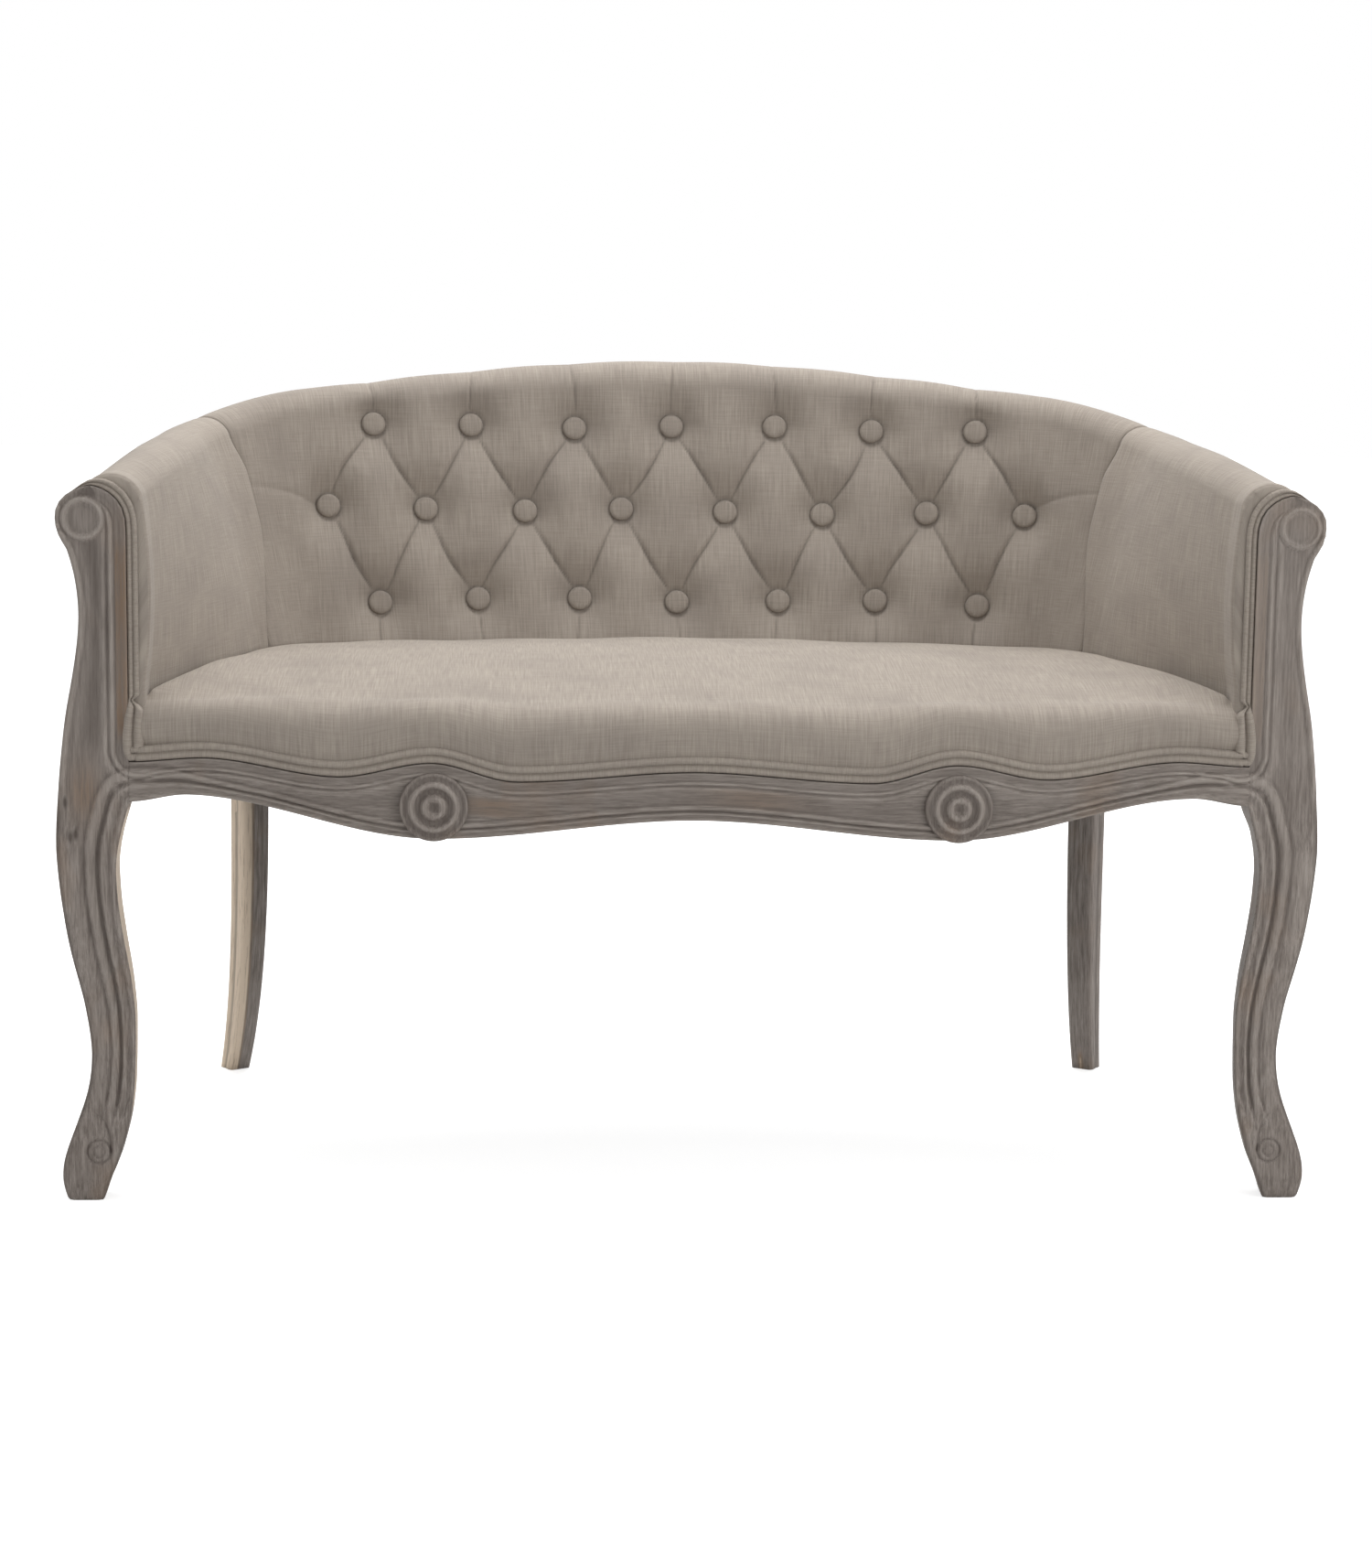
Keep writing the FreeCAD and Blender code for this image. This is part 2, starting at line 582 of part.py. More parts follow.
def rear_leg():
    """Sabre leg that runs up as a back post under the top rails."""
    base, out, across = rear_frame()
    half = size("rear_leg_size") / 2
    proud = size("rear_leg_proud")
    knee = size("rear_knee_z")
    inner = proud - 2 * half
    foot = Vector(size("rear_foot_x"), size("rear_foot_y"), 0) - base
    sweep_out = foot.dot(out) - (proud - half)
    sweep_across = foot.dot(across)
    top = size("top_z_shoulder")

    def curved(near, far, sweep):
        """Outline with the sabre curve, as (offset, height) points for two edges."""
        radius = (knee ** 2 + sweep ** 2) / (2 * abs(sweep))
        half_way = math.copysign(radius - math.sqrt(radius ** 2 - (knee / 2) ** 2), sweep)
        return [(near, knee), (near + half_way, knee / 2), (near + sweep, 0),
                (far + sweep, 0), (far + half_way, knee / 2), (far, knee)]

    def outline(origin, direction, near, far, upper_far, sweep):
        """Face of one outline, with the post above the knee."""
        def at(offset, z):
            return origin + direction * offset + Vector(0, 0, z)

        pts = [at(*p) for p in curved(near, far, sweep)]
        step = size("rail_top")
        edges = [arc(pts[0], pts[1], pts[2]), line(pts[2], pts[3]), arc(pts[3], pts[4], pts[5])]
        if upper_far == far:
            edges.append(line(pts[5], at(far, top)))
        else:
            edges.append(line(pts[5], at(far, step)))
            edges.append(line(at(far, step), at(upper_far, step)))
            edges.append(line(at(upper_far, step), at(upper_far, top)))
        edges.append(line(at(upper_far, top), at(near, top)))
        edges.append(line(at(near, top), pts[0]))
        return Part.Face(Part.Wire(edges))

    wide = 4 * half + abs(sweep_across)
    side_face = outline(base - across * wide, out, inner, proud, -size("rear_post_inset"),
                        sweep_out)
    side_board = side_face.extrude(across * (2 * wide))
    deep = 4 * half + abs(sweep_out)
    front_face = outline(base - out * deep, across, -half, half, half, sweep_across)
    front_board = front_face.extrude(out * (2 * deep))
    return largest(side_board.common(front_board).cut(post_top_space()))


def rear_block(far, margin):
    """Space that a rear leg takes at the rails' height, down to far and wider by margin."""
    base, out, across = rear_frame()
    half = size("rear_leg_size") / 2 + margin
    near = size("rear_leg_proud") + 5
    corners = [base + across * half + out * near, base + across * half + out * far,
               base - across * half + out * far, base - across * half + out * near]
    low = size("rail_bottom") - size("rail_height")
    return prism([c + Vector(0, 0, low) for c in corners], Vector(0, 0, size("rail_top")))


# Base rails

def base_rail(first, last):
    """Show-wood rail with an outer lip and the ledge inside it."""
    lip = size("lip_thickness")
    low, high = size("rail_bottom"), size("rail_top")
    outer = band(first, last, 0, lip, low, high)
    inner = band(first, last, lip, size("rail_thickness"), low, size("ledge_height"))
    return outer.fuse(inner).removeSplitter()


def largest(shape):
    """The largest solid of a shape, after a cut that leaves an offcut."""
    return sorted(shape.Solids, key=lambda solid: solid.Volume)[-1]


# Wall sections

class Section:
    """Profile of the wall at one station: an origin, an outward direction and its widths."""

    def __init__(self, s=None, y=None):
        self.s = plan.total if s is None else abs(s)
        if y is None:
            self.x, self.y, self.nx, self.ny = plan.at(s)
            self.low = profile("low", s)
            self.high = profile("high", s)
            self.lean = profile("lean", s)
            self.top = profile("top_z", s)
        else:
            self.x, self.y, self.nx, self.ny = plan.arm_outer(y), y, 1.0, 0.0
            shift = plan.arm_outer(y) - plan.arm_outer(POST_BACK_Y)
            self.low = size("low_post") + shift
            self.high = size("high_post") + shift
            self.lean = -shift
            self.top = size("top_z_post")
        self.roll = size("roll_ratio") * (self.high + self.lean)
        self.hip = self.top - self.roll

    def at(self, inside, z):
        """Point of the section, inside the outer face, at a height."""
        return Vector(self.x - inside * self.nx, self.y - inside * self.ny, z)

    def face(self, z):
        """The padded face's distance inside the outer face, between the tufts."""
        seat = size("seat_line_z")
        if z <= seat:
            return self.low
        share = (z - seat) / (self.hip - seat)
        return self.low + share * (self.high - self.low)

    def slope(self):
        """Change of that distance with height."""
        return (self.high - self.low) / (self.hip - size("seat_line_z"))


def column_pitch():
    """Half the distance between buttons of a row, taken out to the rails' outer face."""
    return size("button_pitch") * plan.back / (plan.back - 0.6 * size("low_middle"))


def row_high():
    """Height of the upper row of buttons, just under the top roll at the row's ends."""
    ends = Section(6 * column_pitch() + size("button_radius"))
    return ends.hip - size("row_gap") - size("button_radius")


def plain_front(section, shift):
    """Front of an untufted section, as (inside, height) points of a line and an arc."""
    foot, seat = size("pad_foot_z"), size("seat_line_z")
    middle = (seat + section.hip) / 2
    low = section.low - shift
    belly = section.face(middle) + size("pad_belly") - shift
    return [[(low, foot), (low, seat)],
            [(low, seat), (belly, middle), (section.high - shift, section.hip)]]


def tufted_front(section, column, spread, shift):
    """Front of a tufted section as arcs and button seats.

    column counts half pitches from the middle: rows one and three have their buttons
    on even columns and the middle row on odd ones. spread is 0 at a column's button
    seats and 1 half way to the next column.
    """
    radius = size("button_radius")
    low, mid, high = size("row_low_z"), size("row_middle_z"), size("row_high_z")
    foot = size("pad_foot_z")
    even = column % 2 == 0
    depth = size("tuft_depth") + (size("pleat_depth") - size("tuft_depth")) * spread
    button = radius * (1 - spread) + 2 * spread
    if spread:
        lower, upper = (low + mid) / 2, (mid + high) / 2
        seats = [(lower - button, lower + button), (upper - button, upper + button)]
        crease = size("crease_depth") / 2
    elif even:
        seats = [(low - button, low + button), (high - button, high + button)]
        crease = size("crease_depth")
    else:
        seats = [(mid - button, mid - 1), (mid + 1, mid + button)]
        crease = 0.0
    last = (section.low, size("pad_bend_z"))
    end = (section.high - crease / 2, section.hip)
    pieces = [[(section.low, foot), last]]
    for number, (z0, z1) in enumerate(seats):
        seat0 = (section.face(z0) - depth, z0)
        seat1 = (section.face(z1) - depth, z1)
        middle = (last[1] + z0) / 2
        bulge = section.face(middle) - (crease if number == 0 else 0.0)
        if number == 1 and not even and not spread:
            bulge = section.face(middle) - depth + 0.2
        elif number == 1 and spread:
            bulge = section.face(middle) - 2
        pieces.append([last, (bulge, middle), seat0])
        pieces.append([seat0, seat1])
        last = seat1
    middle = (last[1] + end[1]) / 2
    pieces.append([last, (section.face(middle) - crease, middle), end])
    return [[(d - shift, z) for d, z in piece] for piece in pieces]


def edges_of(section, pieces):
    """Edges of a section from (inside, height) points: two make a line, three an arc."""
    edges = []
    for piece in pieces:
        points = [section.at(*p) for p in piece]
        edges.append(arc(*points) if len(points) == 3 else line(*points))
    return edges


def reverse(pieces):
    """The same pieces followed the other way."""
    return [piece[::-1] for piece in pieces[::-1]]


def skin_wire(section, front):
    """Closed profile of a cover: front and top roll, and the same again inside them."""
    t = size("cover_thickness")
    across = (section.high - section.lean) / 2

    def path(shift):
        pieces = front(section, shift)
        start = pieces[-1][-1]
        end = (shift - section.lean, section.hip)
        return pieces + [[start, (across, section.top - shift), end]]

    outer, inner = path(0), path(t)
    close = [[outer[-1][-1], inner[-1][-1]]]
    back = [[inner[0][0], outer[0][0]]]
    return Part.Wire(edges_of(section, outer + close + reverse(inner) + back))


def foam_wire(section, front, back_low, back_high):
    """Closed profile of a pad under its cover, with its back on the hidden frame."""
    shift = size("cover_thickness") + CLEAR
    across = (section.high - section.lean) / 2
    pieces = front(section, shift)
    start = pieces[-1][-1]
    foot = pieces[0][0]
    roof = (shift - section.lean, section.hip)
    heel = (back_low, foot[1])
    pieces.append([start, (across, section.top - shift), roof])
    knee = (back_low, size("tuck_bottom") + size("tuck_height") + CLEAR)
    pieces.append([roof, (back_high, section.hip)])
    pieces.append([(back_high, section.hip), knee])
    pieces.append([knee, heel])
    pieces.append([heel, foot])
    return Part.Wire(edges_of(section, pieces))


def back_sections():
    """Sections of the back with the fronts that belong to them, from left to right."""
    pitch = column_pitch()
    flat = size("button_radius") * pitch / size("button_pitch")
    columns = 7
    result = []
    for column in range(-columns, columns + 1):
        make = lambda section, shift, column=column: tufted_front(section, column, 0, shift)
        for offset in (-flat, flat):
            result.append((column * pitch + offset, make))
        if column < columns:
            between = lambda section, shift, c=column: tufted_front(section, c, 1, shift)
            result.append(((column + 0.5) * pitch, between))
    edge = columns * pitch + flat
    last = SEAM - CLEAR
    steps = 5
    for number in range(1, steps + 1):
        s = edge + (last - edge) * number / steps
        fade = number / steps
        make = lambda section, shift, fade=fade: faded_front(section, fade, shift)
        result.append((s, make))
        result.insert(0, (-s, make))
    return [(Section(s), front) for s, front in result]


def faded_front(section, fade, shift):
    """Front between the last button and the seam: the side pleat runs out."""
    tufted = tufted_front(section, 1, 0, shift)
    foot, top = tufted[0][1], tufted[-1][-1]
    mid = size("row_middle_z")
    depth = size("tuft_depth") * (1 - fade) * 0.5
    half = size("button_radius") * (1 - fade) + 3 * fade
    z = [mid - half, mid - 1, mid + 1, mid + half]
    pts = [(section.face(v) - depth - shift, v) for v in z]
    low_mid, high_mid = (foot[1] + z[0]) / 2, (z[3] + top[1]) / 2
    plump = 4 * fade
    nudge = 0.2
    return [tufted[0],
            [foot, (section.face(low_mid) - shift + plump, low_mid), pts[0]],
            [pts[0], pts[1]],
            [pts[1], (pts[1][0] + nudge, mid), pts[2]],
            [pts[2], pts[3]],
            [pts[3], (section.face(high_mid) - shift + plump, high_mid), top]]


def rest_low():
    """Back of the foam at the foot, before the webbing on the tuck rail."""
    return size("rail_thickness") + size("web_thickness") + 2 * CLEAR


def rest_high(section):
    """Back of the back's foam at the top: before the top rail, level with the posts' face."""
    middle = size("high_middle") - size("top_pad")
    first = 7 * size("button_pitch")
    last = REAR - size("rear_leg_size") * 0.7
    share = min(1.0, max(0.0, (section.s - first) / (last - first)))
    share = share * share * (3 - 2 * share)
    return middle + share * (rest_low() - middle)


def panel_inside(section, z):
    """Inner face of the leaning outside cover at a height."""
    foot = size("rail_top") + CLEAR
    share = (z - foot) / (section.hip - CLEAR - foot)
    return size("panel_thickness") - section.lean * share


def back_pad():
    """Tufted foam of the inside back."""
    wires = [foam_wire(section, front, rest_low(), rest_high(section))
             for section, front in back_sections()]
    return ruled(wires)


def back_skin():
    """Tufted cover of the inside back, rolled over the top."""
    return ruled([skin_wire(section, front) for section, front in back_sections()])


def arm_sections():
    """Sections of the right arm from the seam to the welt on the post's face."""
    middle = (SEAM + plan.arm_start) / 2
    result = [Section(SEAM + CLEAR), Section(middle), Section(plan.arm_start)]
    step = plan.arm_length / 4
    result += [Section(plan.arm_start + step * number) for number in (1, 2, 3)]
    result.append(Section(y=POST_BACK_Y + 1))
    result.append(Section(y=FRONT_Y + size("welt_setback") + size("welt_depth") + CLEAR))
    return result


def arm_back(section):
    """Back of the arm's foam: level with the rails, then against the post's inner face."""
    rest = size("rail_thickness") + 2 * CLEAR
    beside = section.x - (JOINT_X - CLEAR)
    share = max(0.0, (plan.arm_y - section.y) / (plan.arm_y - POST_BACK_Y))
    share = min(1.0, share * share)
    return rest + share * (beside - rest)


def post_space():
    """Space of the right front post, to end the arm's pad and cover around it."""
    y0 = FRONT_Y - size("post_depth")
    curve = shoulder_curve(y0, CLEAR)
    start, top = curve.StartPoint, curve.EndPoint
    low = Vector(start.x, y0, size("rail_top"))
    far = Vector(size("knee_out_x") + size("arm_width"), y0, top.z)
    below = Vector(far.x, y0, low.z)
    wire = Part.Wire([line(low, start), curve.toShape(), line(top, far), line(far, below),
                      line(below, low)])
    return Part.Face(wire).extrude(Vector(0, POST_BACK_Y + CLEAR - y0, 0))


# Hidden frame

def box_wire(section, near, far, z0, z1):
    """Rectangle in a section."""
    return polygon([section.at(near, z0), section.at(far, z0), section.at(far, z1),
                    section.at(near, z1)])


def top_rail_wire(section, front):
    """Profile of a top rail under the roll, its outer face along the outside cover."""
    z1 = section.hip - CLEAR
    z0 = z1 - size("top_rail_height")
    low = panel_inside(section, z0) + 2 * CLEAR
    high = panel_inside(section, z1) + 2 * CLEAR
    return polygon([section.at(low, z0), section.at(front, z0), section.at(front, z1),
                    section.at(high, z1)])


def top_rail_front(section):
    """Front face of a top rail, behind the webbing and the foam."""
    if section.s <= SEAM:
        return rest_high(section) - size("web_thickness") - 2 * CLEAR
    return arm_back(section) - CLEAR


def back_top_rail():
    """Curved top rail between the centres of the two back posts."""
    sections = [Section(s) for s in spaced(-REAR, REAR)]
    return ruled([top_rail_wire(section, top_rail_front(section)) for section in sections])


def arm_rail_sections():
    """Sections of the right arm's hidden rails, from the back post to the front post."""
    result = [Section(s) for s in spaced(REAR, plan.arm_start)]
    return result + arm_sections()[3:-2] + [Section(y=POST_BACK_Y)]


def arm_top_rail():
    """Top rail of the right arm, from the back post to the front post."""
    return ruled([top_rail_wire(section, top_rail_front(section))
                  for section in arm_rail_sections()])


def tuck_band(first, last):
    """Lower rail of the back to which its inside cover is pulled down."""
    low = size("tuck_bottom")
    return band(first, last, size("inner_set"), size("rail_thickness"), low,
                low + size("tuck_height"))


def arm_tuck_rail():
    """Lower rail of the right arm, from the back post to the front post."""
    low = size("tuck_bottom")
    high = low + size("tuck_height")
    near = size("inner_set")
    return ruled([box_wire(section, near, arm_back(section) - 2 * CLEAR, low, high)
                  for section in arm_rail_sections()])


def post_top_space():
    """Space above a back post, from the underside of the top rails."""
    wires = []
    wide = size("rear_leg_size") * 2
    for s in (REAR - wide / 2, REAR, REAR + wide / 2):
        section = Section(s)
        z0 = section.hip - size("top_rail_height") - 2 * CLEAR
        wires.append(box_wire(section, -wide, wide, z0, z0 + size("rail_top")))
    return ruled(wires)


def upright(side):
    """Upright of the back between the base rail and the top rail, leaning back."""
    s = size("upright_x")
    half = size("upright_width") / 2
    wires = []
    section = Section(s)
    foot = size("ledge_height")
    top = Section(s + half).hip - size("top_rail_height") - 2 * CLEAR
    lean = section.lean - size("cover_thickness")
    near, far = size("lip_thickness") + 3, size("rail_thickness")
    for z, shift in ((foot, 0.0), (top, lean)):
        corners = []
        for inside, along in ((near, -half), (far, -half), (far, half), (near, half)):
            corners.append(plan.place(s + along, inside - shift, z))
        wires.append(polygon(corners))
    return sided(ruled(wires), side)


# Outside covers

def panel_wire(section, foot):
    """Thin profile of an outside cover from the base rail to the roll."""
    t = size("panel_thickness")
    top = section.hip - CLEAR
    return polygon([section.at(0, foot), section.at(t, foot), section.at(t - section.lean, top),
                    section.at(-section.lean, top)])


def outside_back():
    """Outside back between the middles of the two rear posts."""
    foot = size("rail_top") + CLEAR
    stations = spaced(CLEAR - REAR, REAR - CLEAR)
    return ruled([panel_wire(Section(s), foot) for s in stations])


def outside_arm():
    """Outside of the right arm, from the rear post to the front post."""
    foot = size("rail_top") + CLEAR
    sections = [Section(s) for s in spaced(REAR + CLEAR, plan.arm_start)]
    sections += [Section(ARM_MID), Section(y=POST_BACK_Y + CLEAR)]
    return ruled([panel_wire(section, foot) for section in sections])


# Seat

def seat_back_y(x):
    """Back edge of the seat at x, before the faces of the back and arm pads."""
    low, high = 0.0, plan.total
    for step in range(40):
        s = (low + high) / 2
        if plan.place(s, profile("low", s) + 2 * CLEAR, 0).x < x:
            low = s
        else:
            high = s
    return plan.place(low, profile("low", low) + 2 * CLEAR, 0).y


def seat_profile(x, shift, hem):
    """Seat section in a plane of one x: (y, z) pieces from the front hem to the back."""
    y_back = seat_back_y(abs(x)) - shift
    front = rail_front(x) + size("welt_setback") + size("welt_depth") + CLEAR + shift
    top = size("seat_crown") - size("seat_fall") * (x / JOINT_X) ** 2 - shift
    edge = min(size("seat_front_z") - shift, top - 2)
    span = y_back - front
    fore = front + min(size("seat_front_depth"), span * 0.4)
    aft = y_back - min(size("seat_back_depth"), span * 0.4)
    welt_top = wave(APRON_TOP, x) + 4 * size("welt_cord") + 3 * CLEAR
    belly = (front - size("welt_setback") - size("seat_bulge"), (welt_top + edge) / 2)
    seat_back = top - 4
    level = (edge + seat_back) / 2
    middle = ((fore + aft) / 2, level + min(top + 1 - level, 0.3 * (aft - fore)))
    corner = (y_back - (y_back - aft) * 0.25, seat_back - 9)
    low_back = seat_back - size("seat_back_depth")
    return [[(front, hem), (front, welt_top)],
            [(front, welt_top), belly, (fore, edge)],
            [(fore, edge), middle, (aft, seat_back)],
            [(aft, seat_back), corner, (y_back, low_back)],
            [(y_back, low_back), (y_back, hem)]]


def seat_edges(x, pieces):
    """Edges of a seat section."""
    edges = []
    for piece in pieces:
        points = [Vector(x, y, z) for y, z in piece]
        edges.append(arc(*points) if len(points) == 3 else line(*points))
    return edges


def seat_stations():
    """Places across the seat: key points of the rail's edge, then the turn into the arms."""
    keys = [x for x, z in APRON_TOP]
    right = []
    for x0, x1 in zip(keys[:-1], keys[1:-1]):
        right += [(x0 + x1) / 2, x1]
    last = plan.place(plan.total, profile("low", plan.total) + 2 * CLEAR, 0).x
    right.insert(-1, (right[-1] + right[-2]) / 2)
    reach = last - right[-1]
    right += [right[-1] + reach * 0.4, right[-1] + reach * 0.75, last]
    return [-x for x in right[::-1]] + [0] + right


def seat_foam():
    """Crowned seat pad on the webbing."""
    floor = size("ledge_height") + 2 * size("web_thickness") + 3 * CLEAR
    wires = []
    for x in seat_stations():
        pieces = seat_profile(x, size("cover_thickness") + CLEAR, floor)
        pieces.append([pieces[-1][-1], pieces[0][0]])
        wires.append(Part.Wire(seat_edges(x, pieces)))
    return ruled(wires)


def seat_cover():
    """Seat cover over the foam, tacked behind the welt."""
    t = size("cover_thickness")
    wires = []
    for x in seat_stations():
        hem = wave(APRON_TOP, x) + size("hem_gap")
        outer = seat_profile(x, 0, hem)
        inner = seat_profile(x, t, hem)
        close = [[outer[-1][-1], inner[-1][-1]]]
        back = [[inner[0][0], outer[0][0]]]
        wires.append(Part.Wire(seat_edges(x, outer + close + reverse(inner) + back)))
    return ruled(wires)


# Welts

def welt_wire(origin, up, out):
    """Profile of a double welt: flat back, two round cords, growing along up."""
    r = size("welt_cord")
    deep = size("welt_depth")
    inset = r * 0.13

    def at(along, front):
        return origin + up * along + out * front

    valley = at(2 * r, deep * 0.55)
    first, last = at(inset, 0), at(4 * r - inset, 0)
    return Part.Wire([arc(first, at(r, deep), valley), arc(valley, at(3 * r, deep), last),
                      line(last, first)])


def seat_welt():
    """Double welt along the serpentine top of the front rail."""
    keys = [x for x, z in APRON_TOP]
    last = JOINT_X - 4 * size("welt_cord") - 2 * CLEAR
    parts = 8
    stops = []
    for x0, x1 in zip(keys, keys[1:]):
        stops += [x0 + (x1 - x0) * i / parts for i in range(parts)]
    stops = [x for x in stops if x < last - 1] + [last]
    back = size("welt_setback") + size("welt_depth")
    wires = []
    for x in [-x for x in stops[:0:-1]] + stops:
        origin = Vector(x, rail_front(x) + back, wave(APRON_TOP, x) + CLEAR)
        wires.append(welt_wire(origin, Vector(0, 0, 1), Vector(0, -1, 0)))
    return ruled(wires)


def shoulder_point(t):
    """Point and outward direction on the post's round shoulder, 0 below and 1 on the crest."""
    curve = shoulder_curve(0, 0)
    point = curve.value(t)
    along = curve.tangent(t)[0]
    return point, Vector(-along.z, 0, along.x)


def arm_welt():
    """Double welt up the right post's inner edge and over its shoulder."""
    y = FRONT_Y + size("welt_setback") + size("welt_depth")
    foot = wave(APRON_TOP, JOINT_X - 5 * size("welt_cord")) + CLEAR
    out = Vector(0, -1, 0)
    places = [(Vector(JOINT_X, 0, foot), Vector(-1, 0, 0))]
    steps = 12
    places += [shoulder_point(i / steps) for i in range(steps + 1)]
    wires = []
    for point, normal in places:
        origin = Vector(point.x, y, point.z) + normal * CLEAR
        wires.append(welt_wire(origin, normal, out))
    return ruled(wires)


def base_welt(last):
    """Single cord outside, where the outside covers meet the base rails."""
    r = size("welt_cord") * 0.75
    z = size("rail_top") + CLEAR + r
    inside = -r - 0.8
    edges = []
    stops = [0, plan.back_length, plan.arm_start, last]
    for a, b in zip(stops, stops[1:]):
        p, q = plan.place(a, inside, z), plan.place(b, inside, z)
        middle = plan.place((a + b) / 2, inside, z)
        straight = a >= plan.arm_start - 1e-6
        edges.append(line(p, q) if straight else arc(p, middle, q))
    disc = Part.Wire(Part.makeCircle(r, plan.place(0, inside, z), Vector(1, 0, 0)))
    half = Part.Wire(edges).makePipeShell([disc], True, False)
    if half.Volume < 0:
        half.reverse()
    return half.fuse(mirrored(half)).removeSplitter()


# Tufting buttons

def button_places():
    """Seat point and outward normal of each button, row by row."""
    pitch = column_pitch()
    places = []
    rows = ((size("row_high_z"), (-6, -4, -2, 0, 2, 4, 6)),
            (size("row_middle_z"), (-7, -5, -3, -1, 1, 3, 5, 7)),
            (size("row_low_z"), (-6, -4, -2, 0, 2, 4, 6)))
    for z, columns in rows:
        for column in columns:
            section = Section(column * pitch)
            seat = section.at(section.face(z) - size("tuft_depth"), z)
            tilt = -section.slope()
            inward = Vector(-section.nx, -section.ny, tilt)
            places.append((seat, inward.normalize()))
    return places


def button_shape():
    """Covered button: flat back, straight rim and domed face."""
    radius, height = size("button_radius") - 1, size("button_height")
    rise = height * 0.65
    dome = (radius ** 2 + rise ** 2) / (2 * rise)
    ball = Part.makeSphere(dome, Vector(0, 0, height - dome))
    return Part.makeCylinder(radius, height).common(ball)


def turned(shape, point, normal, lift):
    """A copy of a shape made along Z, set at a point along a normal."""
    copy = shape.copy()
    turn = FreeCAD.Rotation(Vector(0, 0, 1), normal)
    copy.Placement = FreeCAD.Placement(point + normal * lift, turn)
    return copy


# Fixings

def dowel_places():
    """Middle and direction of each dowel on the right half."""
    z_low = (size("rail_bottom") + size("ledge_height")) / 2
    z_high = (size("ledge_height") + size("rail_top")) / 2 - size("dowel_radius") / 2
    z_front = (size("apron_end") + size("ledge_height")) / 2 + 1
    depth = size("front_rail_depth")
    places = [(Vector(JOINT_X, FRONT_Y + depth * share, z_front), Vector(1, 0, 0))
              for share in (0.25, 0.75)]
    low_in = (size("lip_thickness") + size("rail_thickness")) / 2
    high_in = size("lip_thickness") / 2
    base, out, across = rear_frame()
    for inside, z in ((low_in, z_low), (high_in, z_high)):
        x = plan.arm_outer(POST_BACK_Y) - inside
        places.append((Vector(x, POST_BACK_Y, z), Vector(0, 1, 0)))
        for side in (1, -1):
            point = base - out * (inside + 1) + across * (side * size("rear_leg_size") / 2)
            places.append((point + Vector(0, 0, z), across))
    return places


def pegs(radius, length):
    """Cylinders at all dowel places, both halves."""
    right = [Part.makeCylinder(radius, length, point - way * (length / 2), way)
             for point, way in dowel_places()]
    return right + [mirrored(peg) for peg in right]


def front_block_points():
    """Plan corners of the right front block before the leg and rails are taken off."""
    reach = size("block_reach")
    y = FRONT_Y + size("front_rail_depth")
    x_side = plan.arm_outer(y + reach) - size("rail_thickness")
    return [(JOINT_X - reach * 0.9, y), (JOINT_X + 20, y), (x_side + 8, y + reach * 1.1)]


def rear_block_points():
    """Plan corners of the right rear block before the leg and rails are taken off."""
    reach = size("block_reach")
    thick = size("rail_thickness")
    first = plan.place(REAR - reach * 1.3, thick, 0)
    last = plan.place(REAR + reach * 1.3, thick, 0)
    outer = plan.place(REAR, 0, 0)
    return [(p.x, p.y) for p in (first, outer, last)]


def screw_places():
    """Head point and direction of each block screw on the right half."""
    z = (size("block_bottom") + size("ledge_height")) / 2
    stand = size("screw_length") - size("screw_bite")
    y_face = FRONT_Y + size("front_rail_depth")
    reach = size("block_reach")
    thick = size("rail_thickness")
    x1 = JOINT_X - reach * 0.4
    places = [(Vector(x1, y_face + stand, z), Vector(0, -1, 0))]
    y2 = POST_BACK_Y + reach * 0.3
    x2 = plan.arm_outer(y2) - thick - stand
    places.append((Vector(x2, y2, z), Vector(1, 0, 0)))
    for s in (REAR - reach * 0.55, REAR + reach * 0.55):
        x, y, nx, ny = plan.at(s)
        head = plan.place(s, thick + stand * 0.9, z)
        places.append((head, Vector(nx, ny, 0)))
    return places


def screw_shape(extra, head_room):
    """A screw along Z from its head; extra widens it and head_room lengthens its head."""
    shank = Part.makeCylinder(size("screw_radius") + extra, size("screw_length") + extra)
    head = Part.makeCone(size("screw_head") + extra, size("screw_radius") + extra,
                         size("screw_head_height"))
    solid = shank.fuse(head)
    if head_room:
        solid = solid.fuse(Part.makeCylinder(size("screw_head") + extra, head_room,
                                             Vector(0, 0, 0), Vector(0, 0, -1)))
    return solid


def at_screws(shape):
    """Copies of a shape at all block screws, both halves."""
    right = [turned(shape, point, way, 0) for point, way in screw_places()]
    return right + [mirrored(item) for item in right]


# Webbing

def plan_y(x, inside):
    """The y at which the plan line, moved inside, crosses a given x on the right."""
    low, high = 0.0, plan.total
    for step in range(40):
        middle = (low + high) / 2
        if plan.place(middle, inside, 0).x < x:
            low = middle
        else:
            high = middle
    return plan.place(low, inside, 0).y


def plan_x(y, inside):
    """The x at which the plan line, moved inside, crosses a given y."""
    low, high = 0.0, plan.total
    for step in range(40):
        middle = (low + high) / 2
        if plan.place(middle, inside, 0).y > y:
            low = middle
        else:
            high = middle
    return plan.place(low, inside, 0).x


